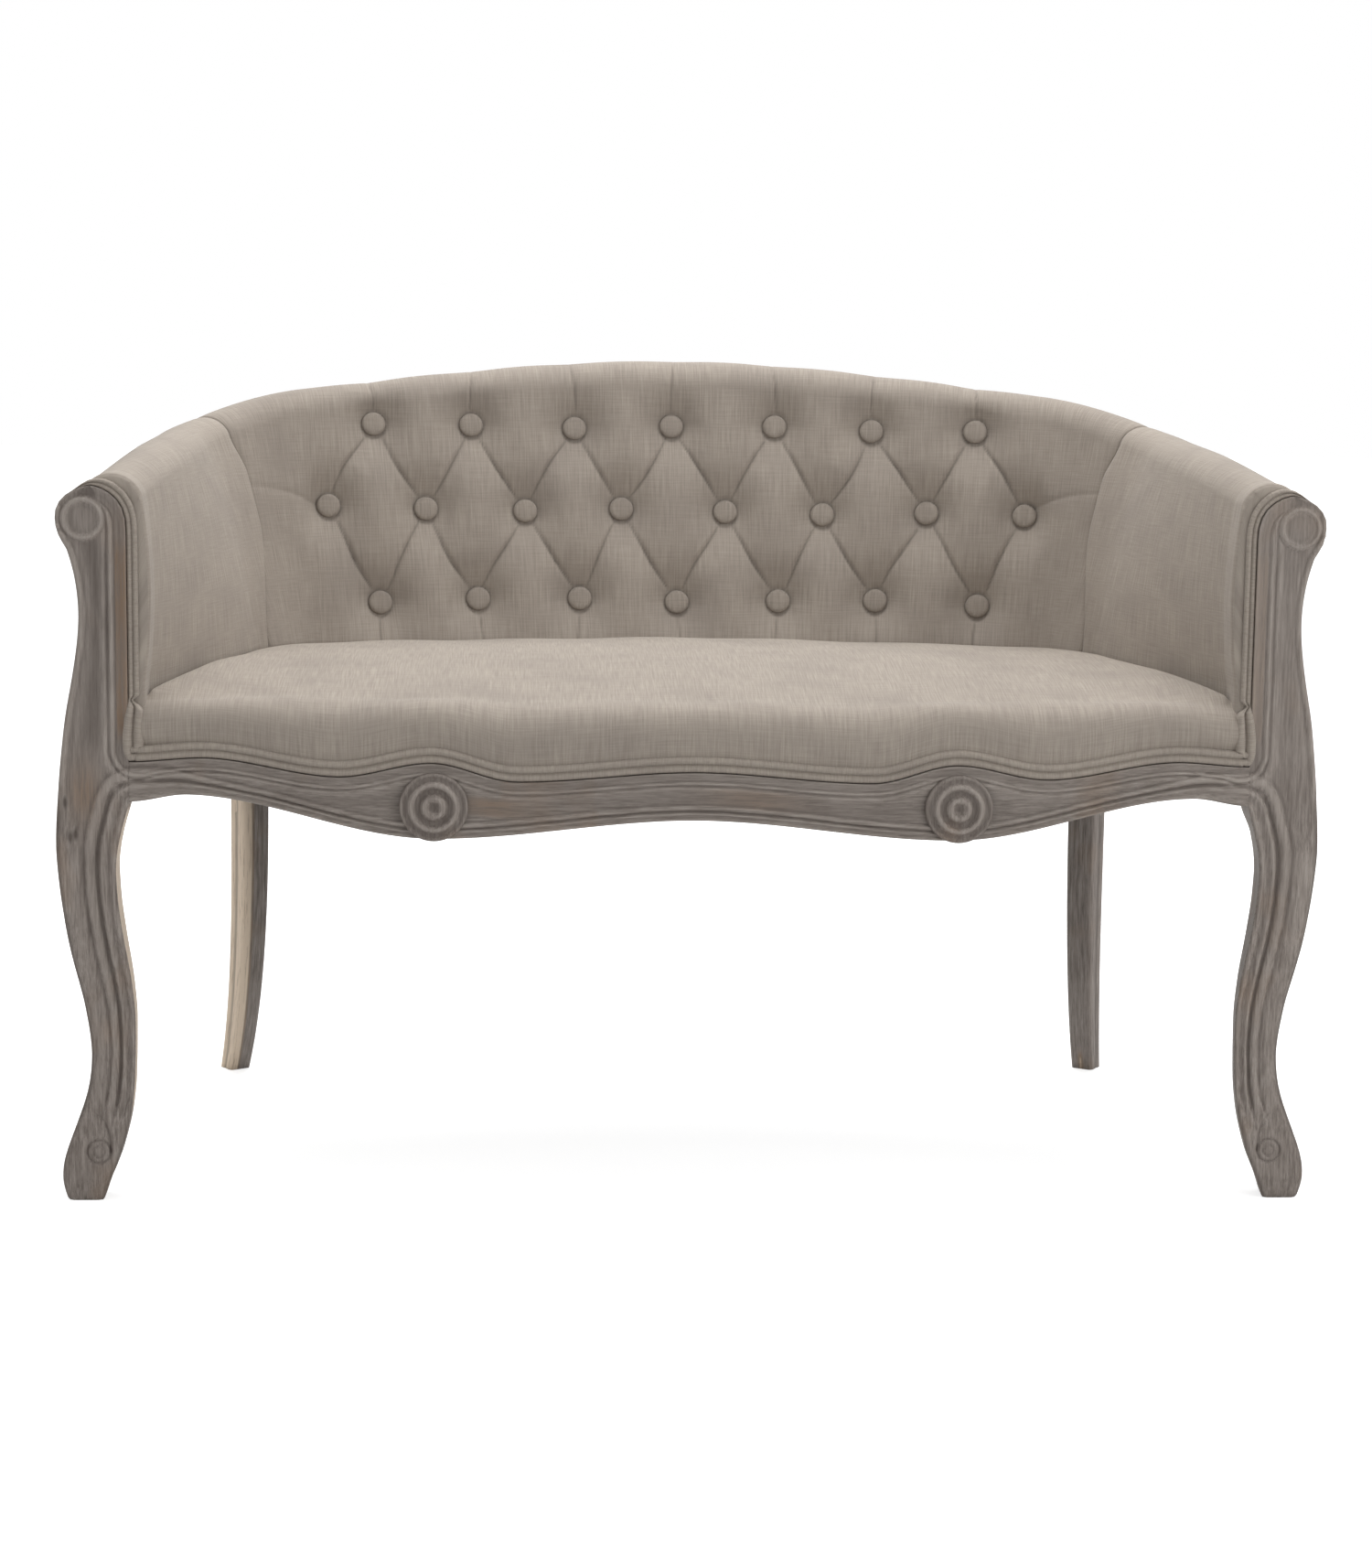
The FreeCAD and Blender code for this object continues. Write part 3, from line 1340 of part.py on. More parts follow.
def long_strips():
    """Seat webbing from the front rail to the back rail."""
    z = size("ledge_height") + CLEAR / 3
    half = size("web_width") / 2
    inside = size("lip_thickness") + 2
    solids = []
    for number in range(-4, 5):
        x = number * size("web_pitch")
        reach = abs(x) + half
        y0 = rail_front(reach) + size("lip_thickness") + 2
        y1 = plan_y(reach, inside)
        solids.append(prism([Vector(x - half, y0, z), Vector(x + half, y0, z),
                             Vector(x + half, y1, z), Vector(x - half, y1, z)],
                            Vector(0, 0, size("web_thickness"))))
    return solids


def cross_strips():
    """Seat webbing from side rail to side rail, over the long strips."""
    z = size("ledge_height") + size("web_thickness") + CLEAR
    half = size("web_width") / 2
    inside = size("lip_thickness") + 2
    first = POST_BACK_Y + half + 2
    solids = []
    for number in range(4):
        y = first + number * size("cross_pitch")
        x = min(plan_x(y + half, inside), plan_x(y - half, inside))
        solids.append(prism([Vector(-x, y - half, z), Vector(x, y - half, z),
                             Vector(x, y + half, z), Vector(-x, y + half, z)],
                            Vector(0, 0, size("web_thickness"))))
    return solids


def back_strips():
    """Webbing of the back, from the tuck rail up to the top rail, bent at the tuck rail."""
    half = size("web_width") / 3
    pitch = size("button_pitch") * 2
    thick = size("web_thickness")
    foot = size("tuck_bottom") + 2
    solids = []
    for number in range(-3, 4):
        s = number * pitch
        wires = []
        for along in (-half, half):
            section = Section(s + along)
            z1 = section.hip - CLEAR
            bend = size("tuck_bottom") + size("tuck_height")
            low = size("rail_thickness") + CLEAR
            high = rest_high(section) - thick - CLEAR
            wires.append(polygon([section.at(low, foot), section.at(low + thick, foot),
                                  section.at(low + thick, bend), section.at(high + thick, z1),
                                  section.at(high, z1), section.at(low, bend)]))
        solids.append(ruled(wires))
    return solids


def dust_sheet():
    """Thin sheet under the base rails, cut back at the front corners."""
    z = size("rail_bottom") - CLEAR - size("dust_thickness")
    inside = size("rail_thickness") - 8
    front_y = FRONT_Y + size("front_rail_depth") + CLEAR
    reach = size("block_reach")
    count = 16
    last = plan.total - reach
    outline = [plan.place(last * (2 * i / count - 1), inside, z) for i in range(count + 1)]
    side_y = outline[-1].y
    near, far = JOINT_X - 0.8 * reach, JOINT_X - 2.1 * reach
    outline += [Vector(near, side_y, z), Vector(far, front_y, z)]
    outline += [Vector(-far, front_y, z), Vector(-near, side_y, z)]
    return prism(outline, Vector(0, 0, size("dust_thickness")))


# Sketched pieces

def profile_sketch(body, name, corners):
    """Closed profile of straight lines whose corners are bound to the sheet.

    corners holds a pair of expressions for each corner, both zero or more.
    """
    planes = [item for item in body.Origin.OriginFeatures if item.Role == "XY_Plane"]
    sketch = body.newObject("Sketcher::SketchObject", name)
    sketch.AttachmentSupport = [(planes[0], "")]
    sketch.MapMode = "FlatFace"
    values = [[cell_value(expression) for expression in corner] for corner in corners]
    points = [Vector(x, y, 0) for x, y in values]
    for start, end in zip(points, points[1:] + points[:1]):
        sketch.addGeometry(Part.LineSegment(start, end), False)
    count = len(points)
    for i in range(count):
        sketch.addConstraint(Sketcher.Constraint("Coincident", i, 2, (i + 1) % count, 1))
    for i, (corner, value) in enumerate(zip(corners, values)):
        for kind, expression, number, axis in (("DistanceX", corner[0], value[0], -2),
                                               ("DistanceY", corner[1], value[1], -1)):
            if number == 0:
                sketch.addConstraint(Sketcher.Constraint("PointOnObject", i, 1, axis))
                continue
            index = sketch.addConstraint(Sketcher.Constraint(kind, -1, 1, i, 1, number))
            sketch.setExpression("Constraints[%d]" % index, expression)
    return sketch


def cell_value(expression):
    """Value of an expression of cells, found in a spare cell of the sheet."""
    sheet.set("E1", "=" + expression.replace("sizes.", ""))
    doc.recompute()
    return float(sheet.get("E1"))


def rosette(name, side):
    """Turned patera on the front rail: disc, raised ring and boss, made by revolving."""
    body = doc.addObject("PartDesign::Body", name)
    body.Label = name
    edge = "sizes.rosette_thickness"
    ring, wire = "sizes.rosette_ring", "sizes.rosette_ring_wire"
    corners = [("0", "0"), ("sizes.rosette_radius", "0"),
               ("sizes.rosette_radius", edge + " - 3"),
               ("sizes.rosette_radius - 2.5", edge),
               ("sizes.rosette_radius - 5", edge + " - 0.5"),
               (ring + " + " + wire + " + 0.5", edge + " - 2.5"),
               (ring + " + 1.2", edge + " + 1.5"),
               (ring + " - 1.2", edge + " + 1.5"),
               (ring + " - " + wire + " - 2.5", edge + " - 3"),
               ("sizes.rosette_boss + 1", edge + " - 2.5"),
               ("sizes.rosette_boss - 1", edge + " + 1"),
               ("sizes.rosette_boss - 4", edge + " + 1.5"),
               ("sizes.rosette_boss - 8", edge), ("0", edge + " - 0.5")]
    sketch = profile_sketch(body, name + "_profile", corners)
    turned_shape = body.newObject("PartDesign::Revolution", name + "_turned")
    turned_shape.Profile = sketch
    turned_shape.ReferenceAxis = (sketch, ["V_Axis"])
    turned_shape.Angle = 360
    sketch.Visibility = False
    x = side * size("rosette_x")
    tilt = math.asin(x / BOW_RADIUS)
    normal = Vector(math.sin(tilt), -math.cos(tilt), 0)
    point = Vector(x, rail_front(x), size("rosette_z")) + normal * (CLEAR / 2)
    turn = FreeCAD.Rotation(Vector(0, 1, 0), normal)
    body.Placement = FreeCAD.Placement(point, turn)
    body.setExpression("Placement.Base.z", "sizes.rail_top - sizes.rosette_drop")
    nodes.append(body)
    return body


def seat_brace():
    """Straight brace between the front and back rails, level with their ledges."""
    body = doc.addObject("PartDesign::Body", "seat_brace")
    body.Label = "seat_brace"
    length = ("sizes.frame_depth - sizes.rail_thickness - sizes.front_rail_depth"
              " - sizes.clearance")
    corners = [("0", "0"), ("sizes.brace_width", "0"), ("sizes.brace_width", length),
               ("0", length)]
    sketch = profile_sketch(body, "seat_brace_plan", corners)
    pad = body.newObject("PartDesign::Pad", "seat_brace_bar")
    pad.Profile = sketch
    pad.Length = size("brace_height")
    pad.setExpression("Length", "sizes.brace_height")
    sketch.Visibility = False
    bind(body, Placement__Base__x="-sizes.brace_width / 2",
         Placement__Base__y="sizes.leg_front_y + sizes.front_rail_depth",
         Placement__Base__z="sizes.rail_top - sizes.ledge_drop - sizes.brace_height")
    nodes.append(body)
    return body


def compound_of(name, members):
    """Node that groups several separate solids."""
    group = doc.addObject("Part::Compound", name)
    group.Label = name
    group.Links = members
    nodes.append(group)
    return group


def dowels():
    """All frame dowels as cylinders bound to the sheet."""
    members = []
    for side in (RIGHT, LEFT):
        for number, (point, way) in enumerate(dowel_places(), start=1):
            x = Vector(side, 1, 1)
            start = point - way * (size("dowel_length") / 2)
            start = Vector(start.x * side, start.y, start.z)
            way = Vector(way.x * side, way.y, way.z)
            name = "dowel_%s_%d" % ("right" if side == RIGHT else "left", number)
            peg = doc.addObject("Part::Cylinder", name)
            peg.Placement = FreeCAD.Placement(start, FreeCAD.Rotation(Vector(0, 0, 1), way))
            bind(peg, Radius="sizes.dowel_radius", Height="sizes.dowel_length")
            members.append(peg)
    return compound_of("rail_dowels", members)


def screws():
    """All corner block screws: a shank and a sunk head each, bound to the sheet."""
    members = []
    for side in (RIGHT, LEFT):
        for number, (point, way) in enumerate(screw_places(), start=1):
            point = Vector(point.x * side, point.y, point.z)
            way = Vector(way.x * side, way.y, way.z)
            place = FreeCAD.Placement(point, FreeCAD.Rotation(Vector(0, 0, 1), way))
            name = "screw_%s_%d" % ("right" if side == RIGHT else "left", number)
            shank = doc.addObject("Part::Cylinder", name + "_shank")
            shank.Placement = place
            bind(shank, Radius="sizes.screw_radius", Height="sizes.screw_length")
            head = doc.addObject("Part::Cone", name + "_head")
            head.Placement = place
            bind(head, Radius1="sizes.screw_head", Radius2="sizes.screw_radius",
                 Height="sizes.screw_head_height")
            whole = doc.addObject("Part::Fuse", name)
            whole.Base = shank
            whole.Tool = head
            members.append(whole)
    return compound_of("block_screws", members)


def build():
    """Make every node of the sofa."""
    pockets = pegs(size("dowel_radius") + size("dowel_gap"),
                   size("dowel_length") + 2 * size("dowel_gap"))
    drills = at_screws(screw_shape(size("dowel_gap"), 2 * size("screw_length")))
    right_pockets = pockets[:len(pockets) // 2]
    right_drills = drills[:len(drills) // 2]

    front = front_leg()
    rear = rear_leg()
    for peg in right_pockets:
        front = front.cut(peg)
        rear = rear.cut(peg)
    front, rear = largest(front), largest(rear)
    for name, side in (("right", RIGHT), ("left", LEFT)):
        feature("front_leg_" + name, sided(front, side))
        feature("rear_leg_" + name, sided(rear, side))

    apron = front_rail()
    for tool in pockets + drills:
        apron = apron.cut(tool)
    feature("front_rail", apron)
    rosette("rosette_right", RIGHT)
    rosette("rosette_left", LEFT)

    block = rear_block(-2 * size("rear_leg_size"), 0)
    leg_room = rear_block(-size("rear_leg_size"), 2 * CLEAR)
    deep, tall = size("frame_depth"), 2 * size("rail_top")
    front_space = Part.makeBox(deep, deep, tall,
                               Vector(JOINT_X - deep / 2, POST_BACK_Y - deep, 0))
    side_rail = largest(base_rail(REAR, plan.total + 12).cut(block).cut(front_space))
    back_rail = largest(base_rail(-REAR, REAR).cut(block).cut(mirrored(block)))
    for tool in pockets + drills:
        back_rail = back_rail.cut(tool)
    for tool in right_pockets + right_drills:
        side_rail = side_rail.cut(tool)
    feature("side_rail_right", side_rail)
    feature("side_rail_left", mirrored(side_rail))
    feature("back_rail", back_rail)
    seat_brace()

    z0, z1 = size("block_bottom"), size("ledge_height")
    leg_space = Part.makeBox(deep, deep, tall, Vector(JOINT_X, POST_BACK_Y - deep, 0))
    corner = prism([Vector(x, y, z0) for x, y in front_block_points()], Vector(0, 0, z1 - z0))
    for tool in [leg_space, side_rail] + right_drills:
        corner = corner.cut(tool)
    corner = largest(corner)
    feature("front_corner_blocks", Part.makeCompound([corner, mirrored(corner)]))
    corner = prism([Vector(x, y, z0) for x, y in rear_block_points()], Vector(0, 0, z1 - z0))
    for tool in [rear, side_rail, back_rail] + right_drills:
        corner = corner.cut(tool)
    corner = largest(corner)
    feature("rear_corner_blocks", Part.makeCompound([corner, mirrored(corner)]))
    dowels()
    screws()

    feature("back_top_rail", back_top_rail())
    feature("back_uprights", Part.makeCompound([upright(RIGHT), upright(LEFT)]))
    at_side = size("upright_x") + size("upright_width") / 2
    bars = [tuck_band(size("upright_width") - at_side, at_side - size("upright_width")),
            largest(tuck_band(at_side, REAR).cut(block)),
            largest(tuck_band(-REAR, -at_side).cut(mirrored(block)))]
    feature("back_tuck_rails", Part.makeCompound(bars))
    arm_tuck = largest(arm_tuck_rail().cut(block))
    arm_top = arm_top_rail()

    strips = [strip.cut(leg_room).cut(mirrored(leg_room)).Solids for strip in long_strips()]
    strips = [largest(Part.makeCompound(pieces)) for pieces in strips]
    feature("seat_webbing_long", Part.makeCompound(strips))
    feature("seat_webbing_cross", Part.makeCompound(cross_strips()))
    feature("back_webbing", Part.makeCompound(back_strips()))
    feature("dust_cover", dust_sheet().cut(leg_room).cut(mirrored(leg_room)))

    feature("seat_foam", seat_foam())
    feature("seat_cover", seat_cover())
    feature("back_foam", back_pad())
    feature("back_cover", back_skin())
    space = post_space()
    sections = arm_sections()
    foams = []
    for section in sections:
        rest = arm_back(section)
        foams.append(foam_wire(section, plain_front, rest, rest))
    arm_foam = largest(ruled(foams).cut(space))
    arm_cover = largest(ruled([skin_wire(item, plain_front) for item in sections]).cut(space))
    side_panel = outside_arm()
    cord = arm_welt()
    for name, side in (("right", RIGHT), ("left", LEFT)):
        feature("arm_tuck_rail_" + name, sided(arm_tuck, side))
        feature("arm_top_rail_" + name, sided(arm_top, side))
        feature("arm_foam_" + name, sided(arm_foam, side))
        feature("arm_cover_" + name, sided(arm_cover, side))
        feature("outside_arm_cover_" + name, sided(side_panel, side))
        feature("arm_welt_" + name, sided(cord, side))
    feature("outside_back_cover", outside_back())
    feature("seat_front_welt", seat_welt())
    feature("base_welt", base_welt(plan.total - 1))
    button = button_shape()
    feature("tufting_buttons", Part.makeCompound(
        [turned(button, point, way, CLEAR) for point, way in button_places()]))


build()
doc.recompute()
for item in doc.Objects:
    if "Invalid" in item.State or "Error" in item.State:
        raise RuntimeError("%s is in state %s" % (item.Name, item.State))
for item in nodes:
    shape = item.Shape
    if shape.isNull() or not shape.isValid() or not shape.Solids:
        raise RuntimeError("%s has no valid solid" % item.Label)
os.makedirs("parts", exist_ok=True)
for item in nodes:
    item.Shape.exportStep(os.path.join("parts", item.Label + ".step"))
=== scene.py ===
"""Looks of the tufted show-wood loveseat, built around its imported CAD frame.

Lengths are worked out in millimetres and become metres when a mesh is made. X is to
the right as seen from the front, -Y is the front, Z is up and the floor is at 0. What
comes in pairs is shaped on the right and mirrored for the left.
"""

import logging
import math
from dataclasses import dataclass
from enum import Enum
from typing import Callable, Sequence

import bmesh
import bpy
import numpy as np
from mathutils import Matrix, Vector


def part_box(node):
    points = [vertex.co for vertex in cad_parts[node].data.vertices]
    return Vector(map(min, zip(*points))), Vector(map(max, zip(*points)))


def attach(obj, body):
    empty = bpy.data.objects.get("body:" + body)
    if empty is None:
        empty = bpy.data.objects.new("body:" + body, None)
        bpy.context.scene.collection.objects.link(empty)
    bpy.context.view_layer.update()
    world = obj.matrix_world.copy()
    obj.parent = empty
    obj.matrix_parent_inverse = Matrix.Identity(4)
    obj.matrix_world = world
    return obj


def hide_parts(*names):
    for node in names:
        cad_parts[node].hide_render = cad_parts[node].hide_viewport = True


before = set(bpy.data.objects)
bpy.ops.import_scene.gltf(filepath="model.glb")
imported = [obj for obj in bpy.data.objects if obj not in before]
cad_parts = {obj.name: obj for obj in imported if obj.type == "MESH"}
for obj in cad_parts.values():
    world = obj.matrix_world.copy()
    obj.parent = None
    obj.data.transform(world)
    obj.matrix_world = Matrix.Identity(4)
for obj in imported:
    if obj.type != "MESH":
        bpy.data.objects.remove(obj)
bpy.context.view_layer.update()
log = logging.getLogger("tufted_sofa")

Array = np.ndarray
Points = tuple[Array, Array, Array]
Values = dict[str, Array]
Pair = tuple[float, float]
Line = Sequence[Pair]
Socket = bpy.types.NodeSocket
Tree = bpy.types.NodeTree
MM = 0.001
QUARTER = math.pi / 2
FAR = 1e9
# Point layers that the finishes read, and what the stain in PATTERN's third value means.
# The relief layer also carries the painted shade of the cloth and the buttons.
PATTERN = "cloth"
RELIEF = "relief"
TAN, LIME = 1.0, 2.0


class Side(Enum):
    """Left or right of the sofa, as the sign of X."""

    RIGHT = 1
    LEFT = -1

    @property
    def word(self) -> str:
        """The end of a piece's name."""
        return "right" if self is Side.RIGHT else "left"


class Grain(Enum):
    """Axis along which a board's grain runs, as scales of the grain pattern."""

    UPRIGHT = (1.0, 1.0, 0.06)
    ACROSS = (0.06, 1.0, 1.0)
    DEEP = (1.0, 0.06, 1.0)


class Profile(Enum):
    """Values of the wall's profile, in mm, at five stations from its middle to the posts.

    TOP is its height, LOW and HIGH how far its padded face stands inside the outer face
    at the seat and at the roll, and LEAN how far it leans outwards at the roll.
    """

    TOP = (825, 791, 758, 742, 724)
    LOW = (125, 119, 116, 84, 59.6)
    HIGH = (30, 42, 54, 60, 58.1)
    LEAN = (45, 28, 10, 2, 0)


# Numbers and curves

def part(value: Array, low: Array | float, high: Array | float) -> Array:
    """Share of the way from low to high, 0 before low and 1 after high."""
    return np.clip((value - low) / (high - low), 0, 1)


def smooth(value: Array, low: float, high: float) -> Array:
    """Smooth step.

    Args:
        value: numbers to grade.
        low: where the step starts; may be above high for a falling step.
        high: where the step ends.

    Returns:
        0 before low, 1 after high and an eased value between.
    """
    t = part(value, low, high)
    return t * t * (3 - 2 * t)


def ridge(distance: Array, width: float) -> Array:
    """Bell curve, 1 at no distance."""
    return np.exp(-(distance / width) ** 2)


def toward(first: Array | float, second: Array | float, share: Array | float) -> Array:
    """Blend of two values, first at a share of 0."""
    return first + (second - first) * share


def looked_up(line: Line, at: Array) -> Array:
    """Values between the (place, value) pairs of a line."""
    return np.interp(at, *zip(*line))


def through(w: Array, knots: Sequence[float], values: Sequence[Array | float]) -> Array:
    """Straight runs between knots whose values differ from place to place.

    Args:
        w: where each place is along the knots.
        knots: rising knots.
        values: the values at each knot.

    Returns:
        Values at w.
    """
    result = values[0] + 0 * w
    for low, high, first, last in zip(knots, knots[1:], values, values[1:]):
        result = np.where(w >= low, toward(first, last, part(w, low, high)), result)
    return result


def level_curve(keys: Line, x: Array) -> Array:
    """Serpentine line that is level at each key point.

    Args:
        keys: (x, height) from the middle outwards.
        x: places, on either side.

    Returns:
        Heights at x.
    """
    x = np.abs(x)
    result = np.full(x.shape, float(keys[0][1]))
    for (x0, z0), (x1, z1) in zip(keys, keys[1:]):
        result = np.where(x >= x0, toward(z0, z1, smooth(x, x0, x1)), result)
    return result


def hermite(stations: Sequence[float], values: Sequence[float], s: Array) -> Array:
    """Smooth values through stations, level at the first.

    Args:
        stations: distances of the known values.
        values: the known values.
        s: distances asked for.

    Returns:
        Values at s.
    """
    slopes = [0.0]
    for i in range(1, len(values) - 1):
        slopes.append((values[i + 1] - values[i - 1]) / (stations[i + 1] - stations[i - 1]))
    slopes.append((values[-1] - values[-2]) / (stations[-1] - stations[-2]))
    result = np.full(s.shape, float(values[0]))
    for i in range(len(values) - 1):
        span = stations[i + 1] - stations[i]
        t = (s - stations[i]) / span
        hold = (1 + 2 * t) * (1 - t) ** 2 * values[i] + t * t * (3 - 2 * t) * values[i + 1]
        turn = t * (1 - t) ** 2 * slopes[i] - t * t * (1 - t) * slopes[i + 1]
        result = np.where(s >= stations[i], hold + span * turn, result)
    return result


def arc_through(first: Pair, middle: Pair, last: Pair, count: int) -> list[Pair]:
    """Points on the circle through three flat points.

    Args:
        first: start.
        middle: a point between.
        last: end.
        count: number of steps.

    Returns:
        count points from first, without last.
    """
    (ax, ay), (bx, by), (cx, cy) = first, middle, last
    turn = 2 * (ax * (by - cy) + bx * (cy - ay) + cx * (ay - by))
    a2, b2, c2 = ax * ax + ay * ay, bx * bx + by * by, cx * cx + cy * cy
    ux = (a2 * (by - cy) + b2 * (cy - ay) + c2 * (ay - by)) / turn
    uy = (a2 * (cx - bx) + b2 * (ax - cx) + c2 * (bx - ax)) / turn
    radius = math.hypot(ax - ux, ay - uy)
    start = math.atan2(ay - uy, ax - ux)
    between = (math.atan2(by - uy, bx - ux) - start) % math.tau
    sweep = (math.atan2(cy - uy, cx - ux) - start) % math.tau
    if between > sweep:
        sweep -= math.tau
    return [(ux + radius * math.cos(start + sweep * i / count),
             uy + radius * math.sin(start + sweep * i / count)) for i in range(count)]


def resampled(points: Line, count: int, passes: int) -> Array:
    """A line of points spaced evenly and rounded.

    Args:
        points: flat points in order.
        count: number of points wanted.
        passes: rounding passes; the ends stay.

    Returns:
        Array of count by 2.
    """
    line = np.array(points)
    steps = np.r_[0, np.cumsum(np.hypot(*np.diff(line, axis=0).T))]
    at = np.linspace(0, steps[-1], count)
    line = np.stack([np.interp(at, steps, line[:, i]) for i in (0, 1)], axis=1)
    for _ in range(passes):
        line[1:-1] = (line[:-2] + 2 * line[1:-1] + line[2:]) / 4
    return line


def distance_to(line: Array, x: Array, z: Array) -> Array:
    """Distance of points to a flat line.

    Args:
        line: array of points by 2.
        x: first coordinates.
        z: second coordinates.

    Returns:
        Shortest distances.
    """
    best = np.full(x.shape, FAR)
    for (x0, z0), (x1, z1) in zip(line, line[1:]):
        dx, dz = x1 - x0, z1 - z0
        t = np.clip(((x - x0) * dx + (z - z0) * dz) / max(dx * dx + dz * dz, 1e-9), 0, 1)
        best = np.minimum(best, np.hypot(x - x0 - t * dx, z - z0 - t * dz))
    return best


# The sofa's main sizes, the same as the frame's

@dataclass(frozen=True)
class Sizes:
    """Sizes and places shared by several pieces, in mm."""

    leg_front_y: float = -281
    joint_x: float = 554
    post_back_y: float = -235
    rail_top: float = 440
    front_bow: float = 30
    scroll_x: float = 595.5
    scroll_z: float = 680
    crest: float = 711.5
    seat_line: float = 520
    pad_foot: float = 460
    pad_inset: float = 7.3
    rows: tuple[float, float, float] = (561.5, 658.5, 751)
    button_pitch: float = 58.43
    button_radius: float = 13.3
    tuft_depth: float = 20
    rosette_x: float = 258
    rosette_z: float = 404
    welt_cord: float = 4


SIZE = Sizes()
# Lower and upper edge of the apron as (x, height), and the radius of its bow in plan
APRON_LOW = ((0, 391), (258, 371), (497, 411), (554, 403))
APRON_TOP = ((0, 438), (175, 427.5), (258, 445), (349, 430.5), (480, 447), (554, 442))
BOW = (SIZE.joint_x ** 2 + SIZE.front_bow ** 2) / (2 * SIZE.front_bow)
# Outline of the post's top as (x, height), from its inner edge over the shoulder, and on
# over the scroll to its outer side
SHOULDER = ((554, 668), (554.8, 680), (557.6, 690), (562.4, 698), (569.5, 704.5), (577.5, 709),
            (585, 711.2), (588, 711.5))
DOME = ((589, 711.5), (595, 710.5), (603.4, 707.5), (611.4, 702.5), (617.6, 696), (621.2, 688),
        (622, 680), (621.2, 672), (618.8, 664), (615.3, 657.2))


def post_top(x: Array) -> Array:
    """Top of the right post's wood at x."""
    xs, zs = zip(*SHOULDER, *[point for point in DOME if point[1] > 680])
    return np.interp(x, xs, zs, left=-1e3, right=680.0)


def rail_front(x: Array) -> Array:
    """Front face of the bowed front rail at x."""
    return SIZE.leg_front_y - SIZE.front_bow + BOW - np.sqrt(BOW ** 2 - np.asarray(x) ** 2)


